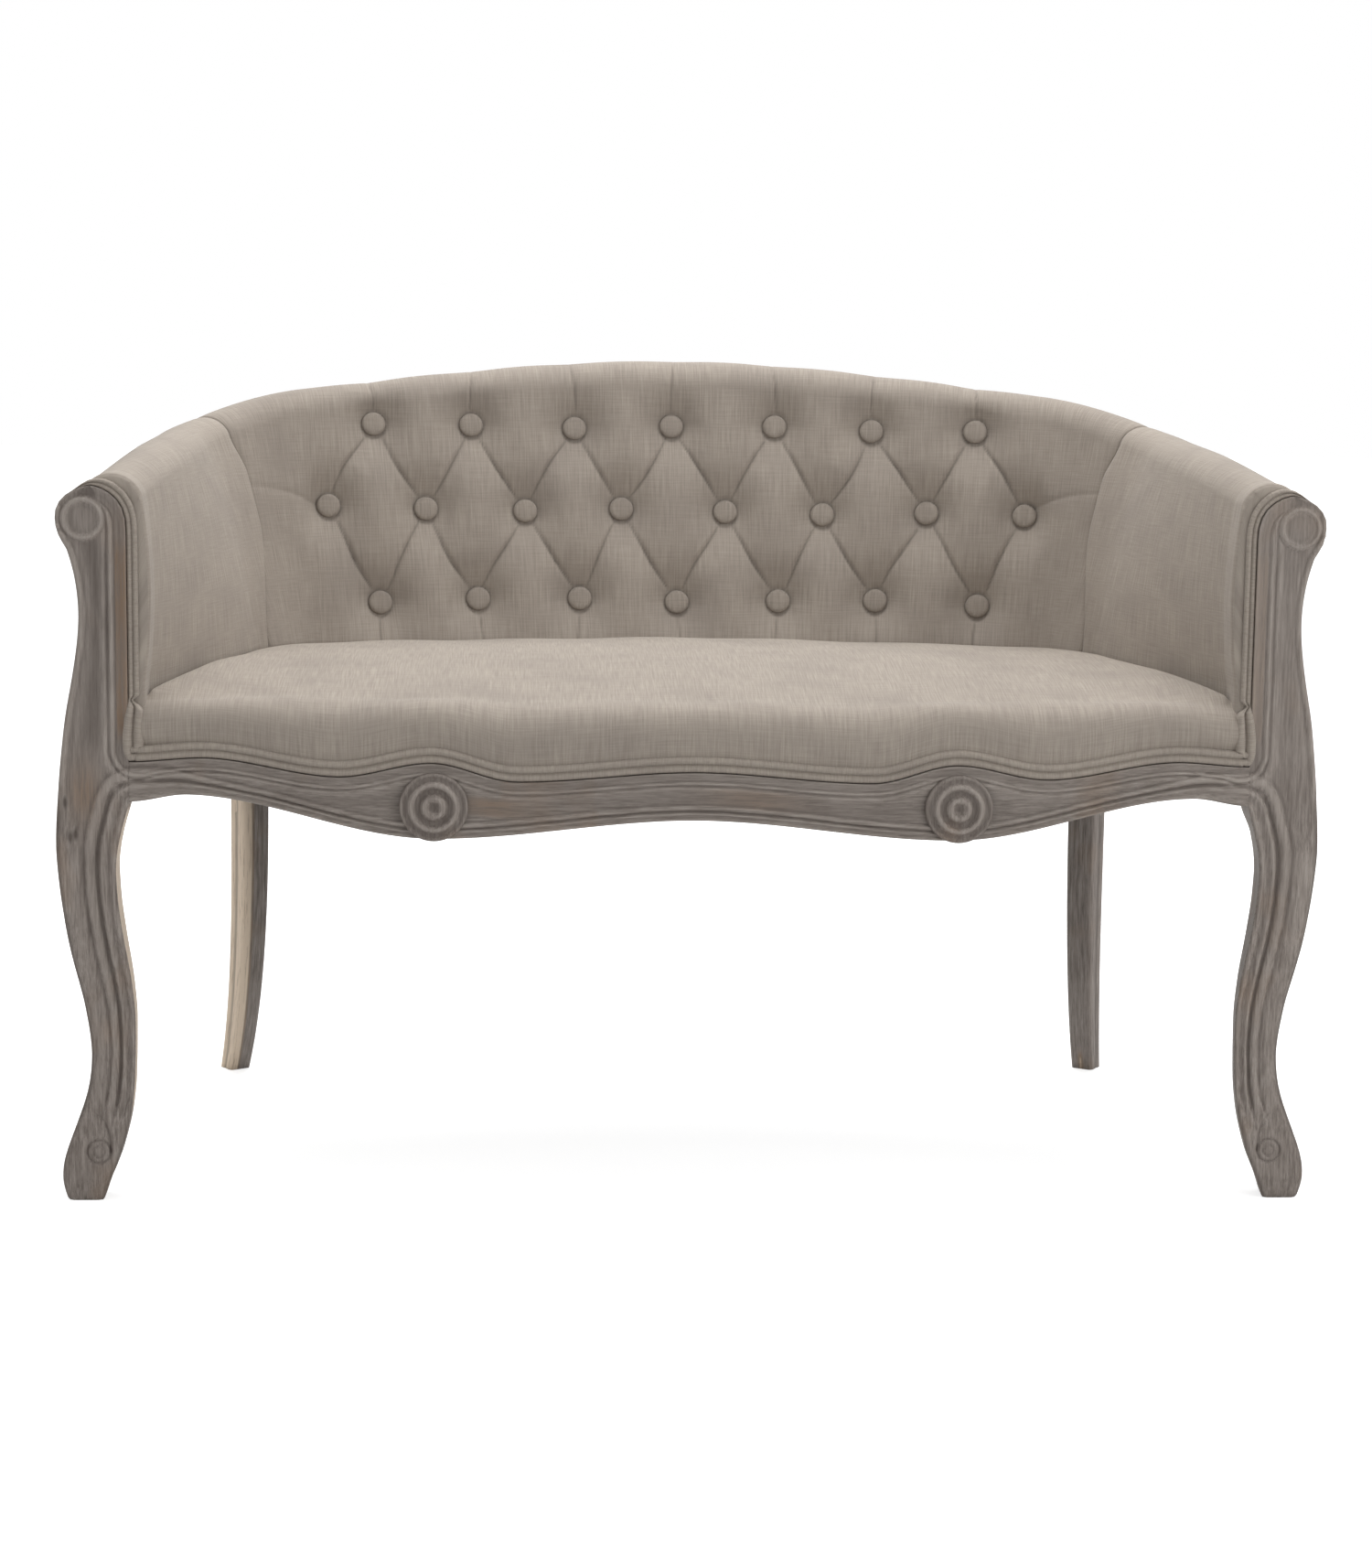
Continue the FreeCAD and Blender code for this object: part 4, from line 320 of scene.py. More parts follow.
@dataclass
class Wall:
    """Plan line and profile of the horseshoe wall, followed from the middle of the back.

    In plan the back is a wide arc, each corner a tight one and each arm straight. Turns
    are the line's directions, counted from the middle of the back: turn is the arm's,
    seam_turn the one where back and arm meet, and rear_turn the rear leg's.
    """

    back: float = 1800.0
    corner: float = 190.0
    turn: float = math.radians(83)
    back_y: float = 269
    outer_x: float = 597.0
    seam_turn: float = math.radians(66)
    rear_turn: float = math.radians(35)
    seam_bend: float = 56

    def __post_init__(self) -> None:
        """Work out where the arcs meet, and the profile's stations."""
        self.centre_y = self.back_y - self.back
        along = self.outer_x * math.sin(self.turn) + SIZE.post_back_y * math.cos(self.turn)
        drop = along - self.corner - self.centre_y * math.cos(self.turn)
        self.start = self.turn - math.acos(drop / (self.back - self.corner))
        self.back_length = self.back * self.start
        self.corner_x = (self.back - self.corner) * math.sin(self.start)
        self.corner_y = self.centre_y + (self.back - self.corner) * math.cos(self.start)
        self.arm_x = self.corner_x + self.corner * math.sin(self.turn)
        self.arm_y = self.corner_y + self.corner * math.cos(self.turn)
        self.arm_start, self.seam, self.rear = (
            self.back_length + self.corner * (turn - self.start)
            for turn in (self.turn, self.seam_turn, self.rear_turn))
        self.total = self.arm_start + (self.arm_y - SIZE.post_back_y) / math.sin(self.turn)
        on_arm = (self.arm_start + self.total) / 2
        self.stations = (0, self.back_length, self.seam, on_arm, self.total)

    def at(self, s: Array) -> tuple[Array, Array, Array, Array]:
        """Points and outward directions of the plan line.

        Args:
            s: distances from the middle of the back, below 0 on the left.

        Returns:
            x, y and the direction's x and y.
        """
        side, a = np.where(s >= 0, 1.0, -1.0), np.abs(s)
        bend = self.start + (a - self.back_length) / self.corner
        on_back, on_corner = a <= self.back_length, a <= self.arm_start
        angle = np.where(on_back, a / self.back, np.where(on_corner, bend, self.turn))
        run = a - self.arm_start
        x = np.where(on_back, self.back * np.sin(angle),
                     np.where(on_corner, self.corner_x + self.corner * np.sin(angle),
                              self.arm_x + run * math.cos(self.turn)))
        y = np.where(on_back, self.centre_y + self.back * np.cos(angle),
                     np.where(on_corner, self.corner_y + self.corner * np.cos(angle),
                              self.arm_y - run * math.sin(self.turn)))
        return side * x, y, side * np.sin(angle), np.cos(angle)

    def value(self, kind: Profile, s: Array) -> Array:
        """One of the profile's values along the wall."""
        return hermite(self.stations, kind.value, np.abs(s))

    def place(self, s: Array, inside: Array, z: Array) -> Points:
        """Points that far inside the outer face."""
        x, y, nx, ny = self.at(s)
        return x - inside * nx, y - inside * ny, z + 0 * x

    def hip(self, s: Array) -> Array:
        """Height where the top roll starts."""
        width = self.value(Profile.HIGH, s) + self.value(Profile.LEAN, s)
        return self.value(Profile.TOP, s) - 0.36 * width

    def roll(self, s: Array) -> Points:
        """Shape of the top roll, an arc over the wall.

        Args:
            s: distances along the wall.

        Returns:
            The arc's radius, half its angle and how far its middle is inside the outer face.
        """
        high, lean = self.value(Profile.HIGH, s), self.value(Profile.LEAN, s)
        half, rise = (high + lean) / 2, self.value(Profile.TOP, s) - self.hip(s)
        radius = (half ** 2 + rise ** 2) / (2 * rise)
        return radius, np.arcsin(half / radius), (high - lean) / 2

    def seam_at(self, rise: Array, roll: Array, hidden: Array) -> Array:
        """Where the seam between back and arm runs.

        Args:
            rise: from the pad's foot to the hip, 0 to 1.
            roll: over the top roll, 0 to 1.
            hidden: down the hidden back, 0 to 1.

        Returns:
            Distances along the wall.
        """
        bend = self.seam_bend * smooth(rise, 0.2, 0.68) - 14 * smooth(rise, 0.85, 1.0)
        return self.seam + (4 * smooth(roll, 0, 0.5) - bend) * (1 - smooth(hidden, 0, 1))

    def face(self, s: Array, z: Array) -> Array:
        """The padded face's distance inside the outer face.

        Args:
            s: distances along the wall.
            z: heights.

        Returns:
            Distances in mm.
        """
        return toward(self.value(Profile.LOW, s), self.value(Profile.HIGH, s),
                      part(z, SIZE.seat_line, self.hip(s)))

    def behind(self, s: Array, w: Array, knots: Sequence[float],
               rests: tuple[Array | float, Array | float]) -> tuple[Array, Array]:
        """Hidden back of a pad, from the roll's outer edge down and back under its face.

        Args:
            s: distances along the wall.
            w: down the hidden back, 0 to 1.
            knots: places on this way: its start, two rests and its end.
            rests: how far the pad stands inside the outer face at the two rests.

        Returns:
            How far inside the outer face it is, and its heights.
        """
        hip = self.hip(s)
        depths = (-self.value(Profile.LEAN, s), *rests, self.value(Profile.LOW, s))
        levels = (hip, hip, SIZE.pad_foot, SIZE.pad_foot)
        return through(w, knots, depths), through(w, knots, levels)

    def inner_s(self, x: float) -> float:
        """Distance along the wall where the seat's outline has an x.

        Args:
            x: place across, on the right.

        Returns:
            The distance, found by halving.
        """
        low, high = 0.0, self.total
        for _ in range(40):
            s = np.array((low + high) / 2)
            if self.place(s, self.value(Profile.LOW, s) + SEAT_GAP, 0.0)[0] < x:
                low = float(s)
            else:
                high = float(s)
        return low


# Room left between the seat and the pads round it, and between covers that meet
SEAT_GAP, JOIN_GAP = 0.6, 0.3
WALL = Wall()


# Meshes

def piece_of(bm: bmesh.types.BMesh, name: str, finish: bpy.types.Material) -> bpy.types.Object:
    """Turn a finished bmesh in metres into a piece that rides on the sofa.

    Args:
        bm: the shape, freed here.
        name: the piece's name.
        finish: its material.

    Returns:
        The new object.
    """
    for face in bm.faces:
        face.smooth = True
    mesh = bpy.data.meshes.new(name)
    bm.to_mesh(mesh)
    bm.free()
    mesh.materials.append(finish)
    piece = bpy.data.objects.new(name, mesh)
    bpy.context.scene.collection.objects.link(piece)
    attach(piece, "root")
    log.info("%s: %d faces", name, len(mesh.polygons))
    return piece


def surface(count_u: int, count_v: int,
            shape: Callable[[Array, Array], Values]) -> bmesh.types.BMesh:
    """A grid laid round a piece, its last v joined to its first and its two ends closed.

    Args:
        count_u: faces along the piece.
        count_v: faces round it.
        shape: gives x, y and z in mm and pattern values for arrays of u and v from 0 to 1:
            across and along in mm, relief from 0 in a groove to 1, and stain, below 0
            for a knot, TAN for tan wood and LIME for wood pale with lime.

    Returns:
        The bmesh, in metres, with its pattern values in point layers.
    """
    bm = bmesh.new()
    bmesh.ops.create_grid(bm, x_segments=count_u, y_segments=count_v, size=0.5)
    flat = np.array([v.co[:2] for v in bm.verts]) + 0.5
    values = shape(flat[:, 0], flat[:, 1])
    place = np.stack([values["x"], values["y"], values["z"]], axis=1) * MM
    cloth = bm.verts.layers.float_vector.new(PATTERN)
    relief = bm.verts.layers.float.new(RELIEF)
    defaults = {"across": values["x"], "along": values["z"], "relief": 1.0, "stain": 0.0}
    across, along, depth, stain = (np.broadcast_to(values.get(key, default), len(flat))
                                   for key, default in defaults.items())
    # The last column takes the very places of the first, and is merged into it below
    row, column = (np.rint(flat * (count_u, count_v)).astype(int)).T
    start, last = column == 0, column == count_v
    first = np.empty(count_u + 1, dtype=int)
    first[row[start]] = np.flatnonzero(start)
    place[last] = place[first[row[last]]]
    for vert, point, a, b, r, c in zip(bm.verts, place, across * MM, along * MM, depth, stain):
        vert.co = point
        vert[cloth] = (a, b, c)
        vert[relief] = r
    rim = [v for v, here in zip(bm.verts, start | last) if here]
    bmesh.ops.remove_doubles(bm, verts=rim, dist=1e-7)
    edges = [e for e in bm.edges if e.is_boundary]
    ends = bmesh.ops.holes_fill(bm, edges=edges, sides=0)["faces"]
    bmesh.ops.triangulate(bm, faces=ends)
    bmesh.ops.dissolve_degenerate(bm, dist=1e-7, edges=bm.edges)
    bmesh.ops.recalc_face_normals(bm, faces=bm.faces)
    return bm


def mirrored(bm: bmesh.types.BMesh, side: Side) -> bmesh.types.BMesh:
    """The same shape on the asked side.

    Args:
        bm: the shape on the right, changed in place.
        side: where it is wanted.

    Returns:
        The bmesh, its normals outward.
    """
    if side is Side.LEFT:
        bmesh.ops.scale(bm, vec=(-1, 1, 1), verts=bm.verts)
        bmesh.ops.recalc_face_normals(bm, faces=bm.faces)
    return bm


def swept(path: Array, sides: Array, profile: Array) -> bmesh.types.BMesh:
    """A closed profile moved along a path.

    Args:
        path: points in mm.
        sides: two directions for each point, for the profile's two coordinates.
        profile: flat points of the profile, in mm, the first not repeated.

    Returns:
        The bmesh, in metres.
    """
    count, around = len(path) - 1, len(profile)
    steps = np.r_[0, np.cumsum(np.linalg.norm(np.diff(path, axis=0), axis=1))]
    ring = np.vstack([profile, profile[:1]])
    girth = np.r_[0, np.cumsum(np.linalg.norm(np.diff(ring, axis=0), axis=1))]

    def shape(u: Array, v: Array) -> Values:
        """Points of the sweep.

        Args:
            u: along the path.
            v: round the profile.

        Returns:
            Coordinates and pattern values.
        """
        i, j = np.rint(u * count).astype(int), np.rint(v * around).astype(int)
        p = path[i] + sides[i, 0] * ring[j, :1] + sides[i, 1] * ring[j, 1:]
        return {"x": p[:, 0], "y": p[:, 1], "z": p[:, 2], "across": steps[i],
                "along": girth[j]}

    return surface(count, around, shape)


# Finishes

def linear(code: str) -> tuple[float, float, float, float]:
    """Linear colour of an sRGB value.

    Args:
        code: the colour as #rrggbb.

    Returns:
        Red, green, blue and 1.
    """
    parts = [int(code[i:i + 2], 16) / 255 for i in (1, 3, 5)]
    red, green, blue = (c / 12.92 if c <= 0.04045 else ((c + 0.055) / 1.055) ** 2.4 for c in parts)
    return red, green, blue, 1.0


def node(tree: Tree, kind: str, settings: dict | None = None,
         links: dict | None = None) -> bpy.types.Node:
    """Add a node.

    Args:
        tree: the material's or world's node tree.
        kind: the node's type.
        settings: values for properties by name and for inputs by name or number.
        links: sockets that feed its inputs, by name or number.

    Returns:
        The new node.
    """
    new = tree.nodes.new(kind)
    for key, value in (settings or {}).items():
        if isinstance(key, str) and hasattr(new, key) and key not in new.inputs:
            setattr(new, key, value)
        else:
            new.inputs[key].default_value = value
    for key, socket in (links or {}).items():
        tree.links.new(socket, new.inputs[key])
    return new


def reckoned(tree: Tree, operation: str, first: Socket, second: Socket) -> Socket:
    """Result of a math operation on two values."""
    return node(tree, "ShaderNodeMath", {"operation": operation}, {0: first, 1: second}).outputs[0]


def blended(tree: Tree, factor: Socket | float, first: object, second: object) -> Socket:
    """Mix two colours.

    Args:
        tree: the node tree.
        factor: how much of the second, a socket or a number.
        first: a socket or a linear colour.
        second: a socket or a linear colour.

    Returns:
        The mixed colour's socket.
    """
    new = node(tree, "ShaderNodeMix", {"data_type": "RGBA"})
    for slot, value in (("Factor", factor), ("A", first), ("B", second)):
        kind = "VALUE" if slot == "Factor" else "RGBA"
        socket = next(s for s in new.inputs if s.name == slot and s.type == kind)
        if isinstance(value, Socket):
            tree.links.new(value, socket)
        else:
            socket.default_value = value
    return next(s for s in new.outputs if s.type == "RGBA")


def graded(tree: Tree, value: Socket, low: float, high: float, to_low: float = 0.0,
           to_high: float = 1.0) -> Socket:
    """Map a range of a value to another, clamped.

    Args:
        tree: the node tree.
        value: the value's socket.
        low: start of its range.
        high: end of its range.
        to_low: what low becomes.
        to_high: what high becomes.

    Returns:
        The mapped value's socket.
    """
    return node(tree, "ShaderNodeMapRange",
                {"From Min": low, "From Max": high, "To Min": to_low, "To Max": to_high},
                {"Value": value}).outputs["Result"]


def layered(tree: Tree, tone: Socket,
            layers: Sequence[tuple[Socket, float, float, float, str]]) -> Socket:
    """Lay colours over a colour, each where its value is high.

    Args:
        tree: the node tree.
        tone: the colour below.
        layers: for each, its value, where it starts and is full, its share there and its
            sRGB colour.

    Returns:
        The colour's socket.
    """
    for value, start, full, share, colour in layers:
        tone = blended(tree, graded(tree, value, start, full, 0.0, share), tone, linear(colour))
    return tone


def noise(tree: Tree, where: Socket, size_mm: Sequence[float], detail: float,
          rough: float) -> Socket:
    """Noise with cells of a real size.

    Args:
        tree: the node tree.
        where: coordinates in metres.
        size_mm: the cells' size along each coordinate.
        detail: octaves.
        rough: share of the finer octaves.

    Returns:
        The noise value's socket.
    """
    scale = tuple(1 / (MM * s) for s in size_mm)
    place = node(tree, "ShaderNodeMapping", {"Scale": scale}, {"Vector": where})
    return node(tree, "ShaderNodeTexNoise",
                {"Scale": 1.0, "Detail": detail, "Roughness": rough},
                {"Vector": place.outputs["Vector"]}).outputs[0]


def attribute(tree: Tree, name: str) -> bpy.types.Node:
    """Node that reads a point layer of the piece."""
    return node(tree, "ShaderNodeAttribute", {"attribute_name": name})


def finished(name: str, dress: Callable[[Tree], tuple[Socket, Socket]], bump: Pair,
             settings: dict[str, float]) -> bpy.types.Material:
    """Material with a colour pattern, a bump and constant shader settings.

    Args:
        name: its name.
        dress: adds the pattern's nodes, and gives the sockets of its colour and height.
        bump: the bump's strength, and its depth in mm.
        settings: the shader's inputs by name.

    Returns:
        The material.
    """
    material = bpy.data.materials.new(name)
    material.use_nodes = True
    tree = material.node_tree
    shader = tree.nodes["Principled BSDF"]
    tone, height = dress(tree)
    tree.links.new(tone, shader.inputs["Base Color"])
    for key, value in settings.items():
        shader.inputs[key].default_value = value
    strength, depth = bump
    relief = node(tree, "ShaderNodeBump", {"Strength": strength, "Distance": depth * MM},
                  {"Height": height})
    tree.links.new(relief.outputs["Normal"], shader.inputs["Normal"])
    return material


@dataclass(frozen=True)
class LimedOak:
    """Solid oak, wire brushed, stained grey-brown and limewashed, then waxed matt.

    The brushing opens the pores into fine lines along the grain, the stain stays dark in
    the grooves of the carving, and the lime stays pale on the edges that are rubbed.
    """

    grain: Grain
    carved: bool = False
    mid: str = "#867d77"
    light: str = "#aba29a"
    dark: str = "#6a6059"
    groove: str = "#4d443e"
    tan: str = "#947a62"
    lime: str = "#ecd9c2"
    depth: float = 0.6
    fibre_mm: float = 2.2
    pore_mm: float = 0.9
    patch_mm: tuple[float, float, float] = (55, 55, 80)
    bent: bool = False

    def make(self) -> bpy.types.Material:
        """Build the material."""
        name = "_".join(["limed_oak", self.grain.name.lower()] + ["carved"] * self.carved
                        + ["bent"] * self.bent)
        return finished(name, self.dress, (0.35, 0.6),
                        {"Roughness": 0.62, "Specular IOR Level": 0.3})

    def dress(self, tree: Tree) -> tuple[Socket, Socket]:
        """Grain, pores and lime.

        Args:
            tree: the material's node tree.

        Returns:
            The sockets of its colour and of its height.
        """
        where = node(tree, "ShaderNodeTexCoord").outputs["Object"]
        height = node(tree, "ShaderNodeSeparateXYZ", {}, {0: where}).outputs["Z"]
        given = node(tree, "ShaderNodeSeparateXYZ", {},
                     {0: attribute(tree, PATTERN).outputs["Vector"]}).outputs
        if self.bent:
            # The grain follows the leg's sweep: the pattern is measured from its centre line
            where = node(tree, "ShaderNodeCombineXYZ", {},
                         {"X": given["X"], "Y": given["Y"], "Z": height}).outputs[0]
        fibre, pore = ([size / g for g in self.grain.value]
                       for size in (self.fibre_mm, self.pore_mm))
        streaks = noise(tree, where, fibre, 5.0, 0.65)
        # Real pores are a few tenths of a millimetre wide: drawn coarser, so that they show
        pores = noise(tree, where, pore, 2.0, 0.5)
        stain = noise(tree, where, [s * 14 for s in fibre], 3.0, 0.5)
        marks = noise(tree, where, [s * 5 for s in fibre], 2.0, 0.6)
        patch = noise(tree, where, self.patch_mm, 2.0, 0.5)
        tone = blended(tree, graded(tree, streaks, 0.35, 0.66), linear(self.dark),
                       linear(self.light))
        tone = blended(tree, 0.26, tone, linear(self.mid))
        tone = layered(tree, tone, (
            (stain, 0.45, 0.72, 0.32, self.dark),
            (patch, 0.56, 0.72, 0.3, self.tan),
            (patch, 0.46, 0.3, 0.24, self.light),
            (pores, 0.56, 0.7, 0.35, self.groove),
            (marks, 0.66, 0.74, 0.45, self.groove)))
        if self.carved:
            tone = self.wear_and_painted_light(tree, tone, streaks, height, given["Z"])
        return tone, reckoned(tree, "ADD", streaks, pores)

    def wear_and_painted_light(self, tree: Tree, tone: Socket, streaks: Socket, height: Socket,
             stain: Socket) -> Socket:
        """What use and the lime left on carved wood, with painted light that makes it paler upwards
        towards the posts.

        Args:
            tree: the material's node tree.
            tone: the wood's colour.
            streaks: the grain.
            height: height over the floor in metres.
            stain: the stain value of the piece's points.

        Returns:
            The worn wood's colour.
        """
        warm = reckoned(tree, "MULTIPLY", stain, graded(tree, streaks, 0.35, 0.6, 0.25, 1.0))
        # Painted light: the wood is made paler from the apron up to the posts, standing in for the
        # brighter light on the posts
        tone = layered(tree, tone, ((height, 0.37, 0.47, 0.3, self.light),
                                    (warm, 0.0, TAN, 0.85, self.tan)))
        bare = reckoned(tree, "MULTIPLY", graded(tree, stain, TAN, 0.85 * LIME),
                        graded(tree, streaks, 0.68, 0.52, 0.4, 1.0))
        tone = blended(tree, bare, tone, linear(self.lime))
        relief = attribute(tree, RELIEF).outputs["Fac"]
        return layered(tree, tone, ((stain, -0.15, -0.8, 0.8, self.groove),
                                    (relief, 0.7, 0.1, self.depth, self.groove),
                                    (relief, 0.8, 1.0, 0.42, self.light)))


@dataclass(frozen=True)
class Linen:
    """Natural linen in plain weave, undyed greige, with slubs in warp and weft.

    The uneven threads give fine pale and dark lines both ways, and the loose fibres a
    soft sheen at grazing angles.
    """

    name: str = "greige_linen"
    mid: str = "#a0968b"
    light: str = "#b8aea2"
    dark: str = "#857c75"
    # Colour of the painted shade in creases, pleats and seams
    crease: str = "#4f4741"
    thread_mm: float = 1.5
    slub_mm: float = 42.0
    cloud_mm: tuple[float, float, float] = (90, 70, 90)

    def make(self) -> bpy.types.Material:
        """Build the material."""
        return finished(self.name, self.dress, (0.3, 0.6),
                        {"Roughness": 0.92, "Specular IOR Level": 0.18, "Sheen Weight": 0.12,
                         "Sheen Roughness": 0.5})

    def dress(self, tree: Tree) -> tuple[Socket, Socket]:
        """Weave, and painted shade in the creases.

        Args:
            tree: the material's node tree.

        Returns:
            The sockets of its colour and of its height.
        """
        where = attribute(tree, PATTERN).outputs["Vector"]
        # The real threads are about 0.7 mm apart: drawn at twice that, so that they show
        thin, long = self.thread_mm, self.slub_mm
        warp = noise(tree, where, (thin, long, thin), 3.0, 0.6)
        weft = noise(tree, where, (long, thin, thin), 3.0, 0.6)
        slubs = noise(tree, where, (thin * 1.8, long * 1.4, thin), 2.0, 0.5)
        cloud = noise(tree, where, self.cloud_mm, 2.0, 0.5)
        dark, light = linear(self.dark), linear(self.light)
        tone = blended(tree, 0.38, blended(tree, graded(tree, warp, 0.34, 0.66), dark, light),
                       blended(tree, graded(tree, weft, 0.3, 0.7), dark, light))
        tone = blended(tree, 0.42, tone, linear(self.mid))
        # Painted shade: darker towards the crease colour where the piece's relief is low
        relief = attribute(tree, RELIEF).outputs["Fac"]
        tone = layered(tree, tone, ((slubs, 0.58, 0.7, 0.3, self.light),
                                    (cloud, 0.45, 0.7, 0.3, self.dark),
                                    (relief, 1.0, 0.0, 0.85, self.crease)))
        return tone, reckoned(tree, "ADD", warp, weft)


@dataclass(frozen=True)
class Plain:
    """A plain finish with a little unevenness: sawn beech, jute, felt or plated steel."""

    name: str
    tone: str
    shade: str
    cells_mm: tuple[float, float, float]
    rough: float
    metallic: float = 0.0

    def make(self) -> bpy.types.Material:
        """Build the material."""
        return finished(self.name, self.dress, (0.2, 0.4),
                        {"Roughness": self.rough, "Metallic": self.metallic})

    def dress(self, tree: Tree) -> tuple[Socket, Socket]:
        """Uneven colour.

        Args:
            tree: the material's node tree.

        Returns:
            The sockets of its colour and of its height.
        """
        where = node(tree, "ShaderNodeTexCoord").outputs["Object"]
        grain = noise(tree, where, self.cells_mm, 4.0, 0.6)
        return blended(tree, graded(tree, grain, 0.3, 0.7), linear(self.shade),
                       linear(self.tone)), grain


class Finishes:
    """Every material of the sofa, made once."""

    def __init__(self) -> None:
        """Make the materials."""
        self.leg = LimedOak(Grain.UPRIGHT, carved=True).make()
        self.rear = LimedOak(Grain.UPRIGHT, carved=True, bent=True).make()
        self.apron = LimedOak(Grain.ACROSS, carved=True, mid="#968e87", depth=0.46).make()
        self.across = LimedOak(Grain.ACROSS).make()
        self.deep = LimedOak(Grain.DEEP).make()
        self.linen = Linen().make()
        self.welt = Linen(name="greige_linen_welt", thread_mm=1.2, slub_mm=14.0).make()
        self.beech = Plain("sawn_beech", "#c8a67c", "#a8845c", (4, 4, 60), 0.75).make()
        self.steel = Plain("zinc_plated_steel", "#b8b8ba", "#8f9092", (2, 2, 2), 0.35, 1.0).make()
        self.jute = Plain("jute_webbing", "#a98e62", "#7d6642", (2, 2, 2), 0.95).make()
        self.felt = Plain("black_nonwoven_cloth", "#26262a", "#161618", (1.5, 1.5, 1.5), 0.95).make()


# Upholstery

@dataclass
class TuftedBack:
    """Deep tufted inside back with its roll over the top, and its 22 covered buttons."""

    finish: bpy.types.Material
    faces: tuple[int, int] = (520, 204)
    puff: float = 8.0
    crease: float = 3.0
    crease_width: float = 2.2
    button_dip: float = 29.0
    seam_dip: float = 3.5
    side_fold: float = 2.2
    end_column: int = 7
    front_share: float = 0.73
    roll_share: float = 0.93
    back_knots: tuple[float, float, float, float] = (0, 0.3, 0.7, 1.0)
    middle_inset: float = 8
    back_inset: float = 31.8
    # Outline of a button as (share of its radius, height)
    button: Line = (
        (0.0, 5.3), (0.45, 5.2), (0.74, 4.8), (0.88, 4.2), (0.96, 3.2), (1.0, 1.8),
        (0.98, 0.2), (0.85, -0.8), (0.0, -0.8))
    button_steps: int = 28

    @staticmethod
    def drift(s: Array, z: Array) -> tuple[Array, Array]:
        """How far the hand-set tufts stray from their even lattice.

        Args:
            s: distances along the wall.
            z: heights.

        Returns:
            Distances along the wall and up.
        """
        along = 2.6 * np.sin(s / 37 + z / 29) + 0.018 * s * smooth(z, 700, 748)
        left = smooth(s, -120, -330) * ridge(z - 658, 38)
        up = 2.2 * np.sin(s / 61 - z / 47 + 0.6)
        return along - 5 * smooth(z, 610, 561) - 8 * left, up - 3.5 * left

    def buttons(self) -> list[Pair]:
        """Distance along the wall and height of each button."""
        pitch, places = SIZE.button_pitch, []
        low, middle, high = SIZE.rows
        for level, last in ((high, self.end_column - 1), (middle, self.end_column),
                            (low, self.end_column - 1)):
            for column in range(-last, last + 1, 2):
                along, up = self.drift(np.array(column * pitch), np.array(level))
                places.append((column * pitch - float(along), level - float(up)))
        return places

    def pleats(self, s: Array, z: Array) -> tuple[Array, Array, Array]:
        """Where a place lies in the lattice of pleats.

        Args:
            s: distances along the wall.
            z: heights.

        Returns:
            Distance to the nearest pleat in mm, how far the cover stands out of its
            pleats from 0 to 1, and the row from -1 to 1 and beyond.
        """
        along, up = self.drift(s, z)
        s, z = s + along, z + up
        low, middle, high = SIZE.rows
        across = np.abs(s) / SIZE.button_pitch
        row = np.interp(z, SIZE.rows, (-1.0, 0.0, 1.0))
        beyond = np.maximum(z - high, low - z) / (middle - low)
        slope = np.where(beyond > 0, 0.5 / SIZE.button_pitch,
                         0.5 * math.hypot(1 / SIZE.button_pitch, 1 / (middle - low)))
        # Two families of diagonals make the lattice, and outside its end diagonals the cloth
        # has no pleats
        upper = row >= 0
        rising, falling = (across + row - 1) / 2, (across - row - 1) / 2
        outside = np.where(upper, rising, falling)
        end = (self.end_column - 1) / 2
        full, nearest = np.ones(s.shape), np.full(s.shape, FAR)
        for value, outer in ((rising, upper), (falling, ~upper)):
            gap = np.abs(value - np.rint(value))
            gap = np.where(outside > end, np.where(outer, np.minimum(value - end, 0.5), 0.5), gap)
            gap = np.clip(gap, 0, 0.5)
            nearest = np.minimum(nearest, gap / slope)
            full = full * (1 - (1 - 2 * gap) ** 2.4)
        return nearest, full, np.maximum(np.abs(row), 1 + beyond * (beyond > 0))

    def depth(self, s: Array, z: Array, seam: Array) -> tuple[Array, Array]:
        """Depth of the cover under the untufted face.

        Args:
            s: distances along the wall.
            z: heights, followed over the roll.
            seam: where the seam beside the arm runs.

        Returns:
            Depths in mm, and the painted shade in the pleats, round the buttons, in the side folds,
            at the seam and over the tufted face.
        """
        nearest, full, row = self.pleats(s, z)
        near = np.full(s.shape, FAR)
        for bs, bz in self.buttons():
            near = np.minimum(near, np.hypot(s - bs, z - bz))
        fade = 1 - smooth(z, SIZE.rows[2] + 45, SIZE.rows[2] + 120)
        upright = smooth(row, 1.0, 1.1)
        base = self.puff * (1 - full) * (1 - 0.45 * upright) * (0.25 + 0.75 * fade)
        fold = ridge(nearest, self.crease_width) * fade
        sunk = base + self.crease * fold * (1 - 0.35 * upright)
        sunk = toward(sunk, SIZE.tuft_depth + 1.5, ridge(near, self.button_dip))
        # The cloth is drawn in round each button
        sunk += 1.5 * ridge(near - 14.6, 2.2)
        # A fold runs from the end buttons of the middle row to the seam
        to_seam, end = seam - np.abs(s), self.end_column * SIZE.button_pitch
        rest = np.abs(s) - end
        line = SIZE.rows[1] + 6 + 27 * (1 - np.exp(-np.maximum(rest, 0) / 55))
        side = np.clip(to_seam / (seam - end), 0, 1)
        side_fold = np.exp(-np.abs(z - line) / 3.5) * (0.35 + 0.65 * side) * (rest > 0)
        sunk += self.side_fold * side_fold + self.seam_dip * np.exp(-to_seam / 6)
